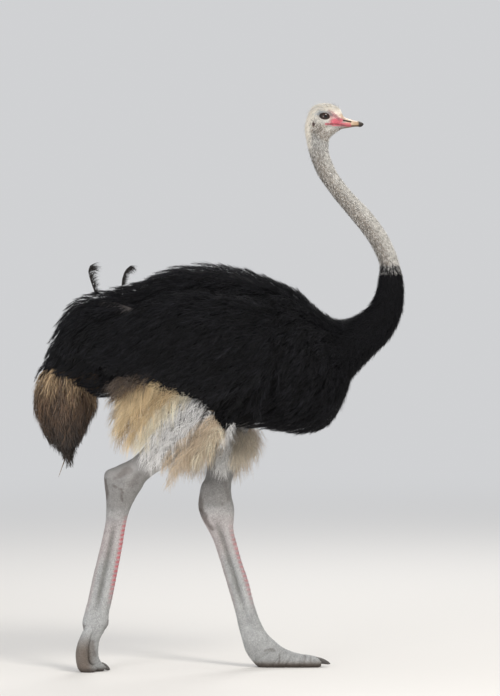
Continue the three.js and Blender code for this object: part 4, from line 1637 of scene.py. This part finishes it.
def down_tint(root, draw):
    """Pepper and salt on the neck, whiter along its front, partly as a painted highlight, and cream on the
    crown and nape.
    """
    count, z = len(root), root[:, 2]
    pick = draw.uniform(0, 1, count)
    nape = (1 - ramp(root[:, 0], 0.330, 0.350)) * ramp(z, 1.86, 2.0)
    head_white = np.maximum(ramp(z, 2.02, 2.08), nape)
    front = in_front_of_neck(root)
    patchy = (1 - head_white) * (0.34 * noise(root, 0.0045, 8) + 0.16 * noise(root, 0.012, 4))
    # Fewer dark strands along the front: partly the down's own paleness, partly a painted highlight.
    dark_share = 0.42 - 0.39 * head_white - 0.34 * front + patchy
    tint = plain(WHITE_DOWN, root)
    tint = paint(tint, head_white * (pick > 0.4), CREAM_DOWN)
    tint = paint(tint, 1.0 * (pick < dark_share + 0.24 * (1 - head_white)), GREY_DOWN)
    tint = paint(tint, 1.0 * (pick < dark_share), BROWN_DOWN)
    return tint * draw.uniform(0.75, 1.15, (count, 1))


def neck_tint(root, draw):
    """Black, with a shade for each strand."""
    return BLACK_FEATHER * draw.uniform(0.6, 1.8, (len(root), 1))


def build_neck_coats():
    """Down and bristles on the bare neck and head, lashes, and black feathers below."""
    def down_length(root):
        length = np.interp(root[:, 2], [1.50, 1.56, 1.95, 2.05, 2.12], [0.013, 0.0085, 0.008, 0.0065, 0.009])
        return length * (1 - 0.35 * ramp(root[:, 0], 0.40, 0.44) * ramp(root[:, 2], 1.98, 2.0))

    def black_length(root):
        on_neck = np.interp(root[:, 2], [1.25, 1.42, 1.49, 1.53], [0.040, 0.030, 0.022, 0.012])
        return np.where(root[:, 0] < 0.50, 0.050, on_neck)

    def black_cover(point, normal):
        edge = 1.514 + 0.008 * noise(point, 0.012, 5)
        on_trunk = 1 - ramp(point[:, 0], 0.42, 0.54)
        return (1 - ramp(point[:, 2], edge - 0.004, edge + 0.010)) * (1 - 0.6 * on_trunk)

    upper = Hide(
        body, HEAD_START + 0.05, BLACK_START + 0.5, 900, 256, coat_depth, NECK_CHART,
        lambda p: shape_neck(shape_head(p)),
    )
    short_coat(
        "neck_down", upper, COUNT["down"], neck_cover, down_length, DOWN_WIDTH, (0.10, 0.50), down_tint,
        DOWN_COAT, 31,
    )
    short_coat(
        "head_bristles", upper, COUNT["bristles"], bristle_cover, steady(BRISTLE_LENGTH), BRISTLE_WIDTH,
        (0.55, 1.1), bristle_tint, DOWN_COAT, 33,
    )
    for side in SIDES:
        build_lashes(side, upper)
    lower = Hide(body, BLACK_START - 0.6, TRUNK_START + 3.4, 500, 256, coat_depth, LOWER_NECK_CHART)
    short_coat(
        "neck_feathers", lower, COUNT["neck"], black_cover, black_length, NECK_FEATHER_WIDTH, (0.12, 0.4),
        neck_tint, BLACK_COAT, 37,
    )


def build_thigh_coat(side):
    """Black feathers over the top of the thigh, where it stands out from the belly."""
    hide = Hide(limb(LEG[side], side), 0, 2.0, 90, 120, 2 * MM, leg_chart(side, 0.0, 0.1))

    def cover(point, normal):
        return ramp(point[:, 2], 0.925, 0.945) * ramp(normal[:, 1] * SIDES[side], -0.6, -0.2)

    def lie(point, tailward):
        return tailward + [-0.6, 0.0, -0.3]

    def length(root):
        return np.clip((root[:, 2] - 0.90) * 1.1, 0.03, 0.075)

    seed = 81 + side_number(side)
    style = dict(seed=seed, length=length, lie=lie, depth=steady(0.014), rise=0.02, spread=0.26, lift=0.007)
    u, v = hide.roots(COUNT["thigh"], cover)
    coat_piece(f"thigh_feathers_{side}", hide, u, v, style, black_tint, BLACK_COAT)


def bristle_cover(point, normal):
    """Where longer bristles stand out of the down: on the crown, the forehead and the nape."""
    top = ramp(normal[:, 2], 0.1, 0.6) * ramp(point[:, 2], 2.07, 2.09)
    nape = ramp(-normal[:, 0], 0.3, 0.8) * ramp(point[:, 2], 1.80, 1.95)
    return neck_cover(point, normal) * (top + 0.5 * nape)


def bristle_tint(root, draw):
    """Mostly white bristles, and a few brown ones."""
    dark = draw.uniform(0, 1, (len(root), 1)) < 0.3
    return np.where(dark, BROWN_DOWN, WHITE_DOWN) * draw.uniform(0.7, 1.1, (len(root), 1))


def build_lashes(side, hide):
    """Dark, bristle-like lashes along the edge of the upper lid."""
    draw = np.random.default_rng(41 + side_number(side))
    f, along, across = lid_line("upper", COUNT["lashes"])
    f, along, across = f[2:-2], along[2:-2], across[2:-2]
    root = eye_point(side, along, across, 0.0016)
    outward = unit(root - eye_centre(side))
    count = len(root)
    way = outward + np.column_stack([0.5 - 0.9 * f, np.zeros(count), 0.25 + draw.normal(0, 0.1, count)])
    length = 0.0115 * np.sin(math.pi * np.clip(0.15 + 0.7 * f, 0, 1)) * draw.uniform(0.75, 1.1, count)
    path = bent_paths(root, unit(way), length, -DOWN, 0.35)
    widths = np.outer(np.full(count, 0.0007), [1.0, 0.9, 0.7, 0.45, 0.1])
    normal = np.tile([0.0, 0.0, 1.0], (count, 5, 1))
    away = np.linalg.norm(hide.point.reshape(-1, 1, 3) - root[None, ::6], axis=2)
    ring, turn = np.divmod(np.argmin(away, axis=0), hide.sides)
    bake = np.repeat(hide.bake_place(ring, turn), 6, axis=0)[:count]
    tint = np.full((count, 3), 0.012)
    strand_object(f"lashes_{side}", path, widths, normal, tint, bake, BLACK_COAT, thickness=0.7)


# ---------------------------------------------------------------- plumes
GOLD = (0.84, 0.65, 0.38)
GOLD_BROWN = (0.50, 0.34, 0.17)
CREAM = (0.96, 0.87, 0.67)
WHITE = (0.98, 0.97, 0.95)
TAN = (0.68, 0.54, 0.38)
# Tan for the plumes round the far thigh, partly their own tan and partly painted shade.
SHADED_FAR_TAN = (0.78, 0.69, 0.55)
DARK_BROWN = (0.10, 0.065, 0.04)
# White plumes under each wing: root x, z; tip x, z; bow; barb length; colour.
PLUMES = {
    "right": [
        (-232, 1102, -370, 1040, 18, 50, GOLD_BROWN),
        (-222, 1098, -368, 1010, 24, 54, GOLD),
        (-208, 1094, -366, 968, 34, 56, GOLD),
        (-190, 1088, -380, 926, 46, 58, GOLD),
        (-169, 1078, -390, 896, 54, 56, GOLD),
        (-150, 1072, -372, 868, 58, 56, GOLD_BROWN),
        (-131, 1065, -338, 851, 60, 56, GOLD),
        (-109, 1058, -311, 848, 62, 54, CREAM),
        (-86, 1050, -285, 855, 60, 52, CREAM),
        (-64, 1039, -285, 829, 54, 50, WHITE),
        (-45, 1028, -281, 799, 52, 52, WHITE),
        (-26, 1012, -266, 765, 48, 52, WHITE),
        (-11, 994, -240, 788, 42, 52, WHITE),
        (0, 975, -202, 780, 26, 58, TAN),
        (8, 956, -169, 769, 18, 58, TAN),
        (11, 945, -131, 776, 14, 58, TAN),
        (15, 934, -98, 795, 10, 54, CREAM),
        (19, 926, -64, 814, 8, 50, TAN),
        (-94, 862, -188, 712, 14, 34, TAN),
        (53, 945, 15, 850, 4, 28, WHITE),
        (-238, 1112, -404, 1070, 24, 44, DARK_BROWN),
        (-250, 1106, -402, 1034, 24, 50, DARK_BROWN),
    ],
    "left": [
        (-170, 1090, -385, 1045, 18, 60, DARK_BROWN),
        (-150, 1084, -400, 1000, 35, 66, GOLD),
        (-125, 1078, -404, 945, 52, 70, GOLD),
        (-100, 1072, -385, 895, 64, 72, CREAM),
        (-75, 1066, -345, 856, 66, 72, GOLD),
        (-50, 1060, -300, 826, 60, 72, CREAM),
        (-25, 1052, -258, 796, 52, 70, WHITE),
        (-5, 1042, -215, 770, 46, 66, WHITE),
        (15, 1028, -170, 756, 38, 66, WHITE),
        (30, 1010, -125, 750, 32, 68, TAN),
        (45, 990, -85, 742, 26, 68, TAN),
        (58, 970, -45, 720, 20, 64, WHITE),
        (70, 950, -8, 694, 14, 56, WHITE),
        (82, 932, 20, 712, 12, 58, WHITE),
        (95, 918, 55, 740, 10, 62, TAN),
        (112, 908, 85, 765, 8, 60, TAN),
        (128, 900, 115, 795, 6, 54, TAN),
        (142, 895, 142, 828, 4, 44, TAN),
    ],
}
# Plumes round the left thigh, on the side that faces the right leg, in the same form.
THIGH_PLUMES = [
    (26, 919, -38, 790, 8, 38, SHADED_FAR_TAN),
    (41, 919, -11, 750, 8, 42, WHITE),
    (56, 915, 15, 735, 8, 42, WHITE),
    (71, 908, 45, 765, 8, 44, SHADED_FAR_TAN),
    (86, 900, 71, 772, 6, 46, SHADED_FAR_TAN),
    (101, 900, 98, 788, 6, 46, SHADED_FAR_TAN),
    (116, 896, 124, 810, 4, 42, SHADED_FAR_TAN),
]
PLUME_ROOT_Y = 282
PLUME_TIP_Y = 226
PLUME_SPREAD_Y = 16
PLUME_LAYERS_Y = 40
THIGH_ROOT_Y = 74
THIGH_TIP_Y = 42
CLUMPS = 15
BARBS_PER_LENGTH = 3.5
# Shafts shorter than this have fewer barbs.
FULL_SHAFT = 190
# Shades of the plumes: at the root, darker as painted shade deep in the plume, what is gained towards the
# tip, the brightest, and the share and depth of barbs with brown tips.
PAINTED_ROOT_SHADE = 0.78
TIP_GAIN = 0.34
BRIGHTEST = 0.96
BROWN_SHARE = 0.18
BROWN_DEPTH = 0.4


def plume_shaft(row, y_root, y_tip, count):
    """Points along a plume's bowed shaft, and how far along it each lies."""
    x0, z0, x1, z1, bow = np.array(row[:5]) * MM
    s = np.linspace(0, 1, count)[:, None]
    root, tip = np.array([x0, y_root, z0]), np.array([x1, y_tip, z1])
    middle = (root + tip) / 2 + np.array([-0.35 * bow, 0, bow])
    return (1 - s) ** 2 * root + 2 * s * (1 - s) * middle + s**2 * tip


def plume_barbs(shaft, barb_length, count, draw, rows=5):
    """Long, loose barbs on both sides of a shaft, which hang in clumps and are slightly wavy.

    Gives how far along the shaft each starts, its path, its normals and the shade of its clump.
    """
    steps = len(shaft) - 1
    start = np.clip(np.linspace(0.06, 1.0, count) + draw.uniform(-0.01, 0.01, count), 0, 1)
    base = blend_rows(shaft[None], start[None] * steps)[0]
    ahead = unit(blend_rows(np.gradient(shaft, axis=0)[None], start[None] * steps)[0])
    beside = unit(np.cross(ahead, [0.0, 1.0, 0.0]))
    clump = 2 * np.floor(start * CLUMPS * 0.999).astype(int) + draw.integers(0, 2, count)
    side = np.where(clump % 2 == 0, 1.0, -1.0)

    def shared(low, high, own):
        """A random value for each clump, which its barbs share but for a small part of their own."""
        return draw.uniform(low, high, 2 * CLUMPS)[clump] + draw.normal(0, own, count)

    base = base + beside * draw.normal(0, 0.007, (count, 1)) + draw.normal(0, 0.003, (count, 3))
    lean = shared(0.15, 1.15, 0.2) * (1 - 0.35 * start**3)
    way = ahead * np.cos(lean)[:, None] + beside * (side * np.sin(lean))[:, None]
    way[:, 1] += shared(-0.6, 0.6, 0.15)
    way = unit(way)
    shape = 0.55 + 0.45 * np.sin(math.pi * np.clip(0.15 + 0.75 * start, 0, 1))
    length = barb_length * shape * shared(0.75, 1.12, 0.08)
    grow = np.linspace(0, 1, rows)
    fall = 0.75 * shared(0.6, 1.3, 0.1)
    path = bent_paths(base, way, length, DOWN, fall[:, None], rows)
    members = np.maximum(np.bincount(clump, minlength=2 * CLUMPS), 1)
    tips = np.stack([np.bincount(clump, path[:, -1, k], 2 * CLUMPS) / members for k in range(3)], -1)
    path = path + (tips[clump] - path[:, -1])[:, None] * (0.45 * grow**2)[None, :, None]
    wave_way = unit(draw.normal(0, 1, (count, 3)))
    phase = draw.uniform(0, 6.28, (count, 1))
    wave = 0.09 * length[:, None] * (np.sin(grow * 6 + phase) - np.sin(phase)) * grow
    path = path + wave_way[:, None] * wave[..., None]
    normal = unit(np.cross(way, beside) + draw.normal(0, 0.4, (count, 3)))
    return start, path, np.repeat(normal[:, None], rows, axis=1), shared(0.72, 1.12, 0.05)


def plume_piece(name, rows, root_y, tip_y, seed, bake_u, coat):
    """One coat piece of plumes whose shafts run from root_y to tip_y, in millimetres, in two layers."""
    draw = np.random.default_rng(seed)
    sign = math.copysign(1, root_y)
    parts = []
    last = len(rows) - 1
    for k, row in enumerate(rows):
        for copy in range(2):
            layer = (k / last - 0.5) * PLUME_SPREAD_Y - PLUME_LAYERS_Y * copy
            y_root = root_y + sign * layer + draw.uniform(-4, 4)
            y_tip = tip_y + sign * layer * 1.2 + draw.uniform(-6, 6)
            shifted = list(row)
            shifted[2] += draw.uniform(-8, 8) + 8 * copy
            shifted[3] += draw.uniform(-6, 6) + 6 * copy
            shaft = plume_shaft(shifted, y_root * MM, y_tip * MM, 24)
            shaft_length = math.hypot(row[0] - row[2], row[1] - row[3])
            count = int(BARBS_PER_LENGTH * row[5] * min(1, shaft_length / FULL_SHAFT))
            start, path, normal, shade = plume_barbs(shaft, row[5] * MM, count, draw)
            grow = np.linspace(0, 1, path.shape[1])[None, :, None]
            # Each barb is darker towards its root on the shaft, as painted shade deep in the plume.
            tint = np.array(row[6]) * shade[:, None, None] * (PAINTED_ROOT_SHADE + TIP_GAIN * grow)
            brown = draw.uniform(0, 1, (count, 1, 1)) < BROWN_SHARE
            tint = np.minimum(tint * (1 - BROWN_DEPTH * brown * grow), BRIGHTEST)
            widths = np.outer(draw.uniform(0.9, 1.7, count) * MM, np.linspace(1.0, 0.12, path.shape[1]))
            place = np.array([bake_u + 0.35 * k / last, 0.85])
            parts.append((path, widths, normal, tint, place + np.outer(start, [0.01, 0.04])))
    join = [np.concatenate(part) for part in zip(*parts)]
    strand_object(name, *join, coat)


def build_plumes():
    """The pale plumes under both wings and round the left thigh."""
    for side, sign in SIDES.items():
        plume_piece(
            f"wing_plume_vanes_{side}", PLUMES[side], sign * PLUME_ROOT_Y, sign * PLUME_TIP_Y,
            51 + side_number(side), 0.5 * side_number(side) + 0.05, (*PALE_COAT, f"wing_plumes_{side}"),
        )
    plume_piece("thigh_plume_vanes", THIGH_PLUMES, THIGH_ROOT_Y, THIGH_TIP_Y, 57, 0.55, PALE_COAT)


# ---------------------------------------------------------------- tail
TAIL_TAN = np.array((0.46, 0.33, 0.19))
TAIL_MIDDLE = np.array((0.112, 0.066, 0.037))
TAIL_DARK = np.array((0.028, 0.018, 0.012))


def tail_tint(root, tip, draw, each):
    """Tan at the tail's top, brown in the middle and nearly black at its end."""
    feather = draw.uniform(0.6, 1.35, each.max() + 1)[each]
    shade = (feather * draw.uniform(0.45, 1.6, len(each)))[:, None]
    level = root[:, 2] + draw.normal(0, 0.03, each.max() + 1)[each] + draw.normal(0, 0.012, len(each))
    tint = plain(TAIL_MIDDLE, each)
    tint = paint(tint, ramp(level, 1.03, 1.13), TAIL_TAN)
    tint = paint(tint, 1 - ramp(level, 0.89, 0.99), TAIL_DARK)
    return tint * shade


def build_tail():
    """The tail's drooping brown feathers."""
    hide = Hide(tail, 0.05, tail.last - 1.6, 200, 160, 33 * MM, TAIL_CHART)

    def lie(point, tailward):
        return tailward + 0.4 * DOWN

    length = graded(2, [0.80, 0.95, 1.15], [0.050, 0.110, 0.12])
    depth = graded(2, [0.83, 0.95], [0.016, 0.036])
    style = dict(seed=91, length=length, lie=lie, depth=depth, rise=0.05, fan=0.5, lift=0.009, tousle=0.18)
    u, v = hide.roots(COUNT["tail"])
    coat_piece("tail_feathers", hide, u, v, style, tail_tint, (*BROWN_COAT, "tail"))


# ---------------------------------------------------------------- single feathers
# Stems in millimetres, x and z on the middle plane, from root to tip.
REAR_STEM = [(-464, 1400), (-468, 1424), (-481, 1459), (-490, 1494), (-484, 1516)]
FRONT_STEM = [(-366, 1424), (-364, 1448), (-361, 1474), (-350, 1500), (-333, 1516)]
QUILL_STEM = [(-559, 850), (-570, 812), (-582, 783), (-594, 748), (-605, 718)]
LOOSE_STEM = [(-318, 1362), (-352, 1372), (-392, 1384), (-440, 1392)]
STEM_WIDTHS = [0.0034, 0.0030, 0.0024, 0.0018, 0.0008]
QUILL_BROWN = (0.20, 0.13, 0.075)
LOOSE_GREY = (0.10, 0.085, 0.08)
LOOSE_OUT = 0.030


def feather_stem(points, count):
    """A smooth stem of a number of points through a few given ones."""
    rows = np.array([(x, 0.0, z) for x, z in points]) * MM
    return spline(rows, np.linspace(0, len(points) - 1, count))


def build_upright_feather(name, points, barb_start, barb_length, seed):
    """A feather that stands up from the back, its barbs all on its forward side and curled at their tips."""
    draw = np.random.default_rng(seed)
    stem = feather_stem(points, 24)
    count = COUNT["upright"]
    start = draw.uniform(barb_start, 1.0, count)
    base = blend_rows(stem[None], start[None] * 23)[0]
    ahead = unit(blend_rows(np.gradient(stem, axis=0)[None], start[None] * 23)[0])
    forward = unit(np.cross([0.0, 1.0, 0.0], ahead))
    forward = forward * np.sign(forward[:, :1])
    lean = draw.uniform(0.35, 1.25, count)
    way = ahead * np.cos(lean)[:, None] + forward * np.sin(lean)[:, None]
    way[:, 1] += draw.normal(0, 0.22, count)
    length = barb_length * MM * draw.uniform(0.45, 1.1, count) * (0.45 + 0.55 * start)
    path = bent_paths(base, way, length, (forward - ahead)[:, None], 0.28)
    widths = np.outer(draw.uniform(1.1, 1.9, count) * MM, BARB_TAPER)
    tint = np.tile(TAIL_DARK * 0.3, (count, 1)) * draw.uniform(0.5, 1.6, (count, 1))
    path = np.concatenate([path, stem[None, ::5]])
    widths = np.concatenate([widths, [STEM_WIDTHS]])
    normal = np.tile([0.0, 1.0, 0.0], (count + 1, BARB_POINTS, 1))
    tint = np.concatenate([tint, [TAIL_DARK]])
    bake = np.column_stack([np.linspace(0.05, 0.95, count + 1), np.full(count + 1, 0.99)])
    strand_object(f"{name}_vane", path, widths, normal, tint, bake, (*BROWN_COAT, name))


def build_tail_quill():
    """The bare shaft that hangs from the tail's lower end."""
    stem = feather_stem(QUILL_STEM, 10)
    widths = np.linspace(4.2, 1.4, 10)[None] * MM
    normal = np.tile([0.0, 1.0, 0.0], (1, 10, 1))
    tint, bake = np.array([QUILL_BROWN]), np.array([[0.98, 0.99]])
    coat = (*BROWN_COAT, "tail_quill")
    strand_object("tail_quill_shaft", stem[None], widths, normal, tint, bake, coat, thickness=0.8)


def build_loose_feather():
    """A faded, wispy feather that has worked loose on the right side of the rump."""
    draw = np.random.default_rng(8)
    stem = feather_stem(LOOSE_STEM, 20)
    right = body_hide.point[body_hide.point[..., 1] < 0]
    for row in stem:
        nearest = np.argmin(np.hypot(right[:, 0] - row[0], right[:, 2] - row[2]))
        row[1] = right[nearest, 1] - LOOSE_OUT
    count = COUNT["loose"]
    start = draw.uniform(0, 1, count)
    base = blend_rows(stem[None], start[None] * 19)[0]
    aims = [(-0.75, 0.3), (-0.05, 0.12), (-0.5, 0.35)]
    way = unit(np.column_stack([draw.normal(middle, spread, count) for middle, spread in aims]))
    length = draw.uniform(0.02, 0.05, count)
    path = bent_paths(base, way, length, DOWN, 0.4)
    path[..., 1] += 0.010 * np.linspace(0, 1, BARB_POINTS) ** 2
    widths = np.outer(draw.uniform(0.7, 1.2, count) * MM, BARB_TAPER)
    normal = np.tile([0.0, -1.0, 0.0], (count, BARB_POINTS, 1))
    tint = np.array(LOOSE_GREY) * draw.uniform(0.3, 1.4, (count, 1))
    bake = np.column_stack([draw.uniform(0.86, 0.9, count), draw.uniform(0.30, 0.34, count)])
    strand_object("loose_rump_feather", path, widths, normal, tint, bake, BROWN_COAT)


# ---------------------------------------------------------------- camera, light and floor
CAMERA_DISTANCE = 22.0
CAMERA_HEIGHT = 2.23
CAMERA_LENS = 303.5
AIM = Vector((0.116, 0.0, 1.2075))
STUDIO_TINT = (0.93, 0.94, 0.96, 1)
STUDIO_GLOW = 0.68
FLOOR_REACH = 150.0
FLOOR_COLOUR = (0.74, 0.72, 0.69, 1)
# Where the floor begins and ends to fade into the glow, from the middle.
FLOOR_FADE = {"From Min": 2.0, "From Max": 11.0}
LIGHT_AIM = Vector((0, 0, 1.1))
# Lights: name, place, size in metres, power in watts, colour.
LIGHTS = [
    ("key", (3.2, -4.6, 5.6), 2.4, 300, (1.0, 0.96, 0.90)),
    ("fill", (-3.2, -6.0, 1.9), 3.0, 210, (0.99, 0.98, 1.0)),
    ("rim", (1.5, 5.5, 5.0), 3.0, 160, (1, 1, 1)),
]


def place_in_scene(name, data, place, aim):
    """An object at a place, turned so that it looks towards the aim."""
    thing = bpy.data.objects.new(name, data)
    thing.location = place
    thing.rotation_euler = (aim - thing.location).to_track_quat("-Z", "Y").to_euler()
    bpy.context.scene.collection.objects.link(thing)
    return thing


def build_camera():
    """A long lens far to the bird's right, a little above its head."""
    data = bpy.data.cameras.new("camera")
    data.lens = CAMERA_LENS
    data.sensor_width = 36
    data.clip_end = 400
    bpy.context.scene.camera = place_in_scene("camera", data, (AIM.x, -CAMERA_DISTANCE, CAMERA_HEIGHT), AIM)


def build_studio():
    """An even, pale surround, three lights and the floor."""
    world = bpy.data.worlds.new("studio")
    world.use_nodes = True
    set_inputs(world.node_tree.nodes["Background"], {"Color": STUDIO_TINT, "Strength": STUDIO_GLOW})
    bpy.context.scene.world = world
    for name, place, size, power, colour in LIGHTS:
        data = bpy.data.lights.new(name, "AREA")
        data.shape = "DISK"
        data.size = size
        data.energy = power
        data.color = colour
        place_in_scene(name, data, place, LIGHT_AIM)
    build_floor()
    bpy.context.scene.view_settings.view_transform = "Standard"


def build_floor():
    """A wide pale disc that fades into the studio's own glow far from the bird."""
    corners = [(FLOOR_REACH * math.cos(a), FLOOR_REACH * math.sin(a), 0.0) for a in circle(96)]
    mesh = bpy.data.meshes.new("floor")
    mesh.from_pydata(corners, [], [tuple(range(len(corners)))])
    floor = bpy.data.objects.new("floor", mesh)
    bpy.context.scene.collection.objects.link(floor)
    material, tree, shader = new_material("studio_floor")
    set_inputs(shader, {"Base Color": FLOOR_COLOUR, "Roughness": 0.9, "Specular IOR Level": 0.1})
    place = add_node(tree, "ShaderNodeNewGeometry")
    distance = add_node(tree, "ShaderNodeVectorMath", operation="LENGTH")
    fade = map_range(tree, FLOOR_FADE, "SMOOTHSTEP")
    glow = add_node(tree, "ShaderNodeEmission", {"Color": STUDIO_TINT, "Strength": STUDIO_GLOW})
    mix = add_node(tree, "ShaderNodeMixShader")
    wire(
        tree,
        (place, "Position", distance, 0),
        (distance, "Value", fade, "Value"),
        (fade, "Result", mix, "Fac"),
        (shader, 0, mix, 1),
        (glow, 0, mix, 2),
        (mix, 0, tree.nodes["Material Output"], "Surface"),
    )
    mesh.materials.append(material)


# ---------------------------------------------------------------- build
build_skin()
build_bill()
for side in SIDES:
    build_eye(side)
    build_claw(side)
build_body_coat()
for side in SIDES:
    build_wing_coat(side)
    build_thigh_coat(side)
build_neck_coats()
build_plumes()
build_tail()
build_upright_feather("back_feather_rear", REAR_STEM, 0.14, 44, 5)
build_upright_feather("back_feather_front", FRONT_STEM, 0.18, 33, 6)
build_tail_quill()
build_loose_feather()
build_camera()
build_studio()
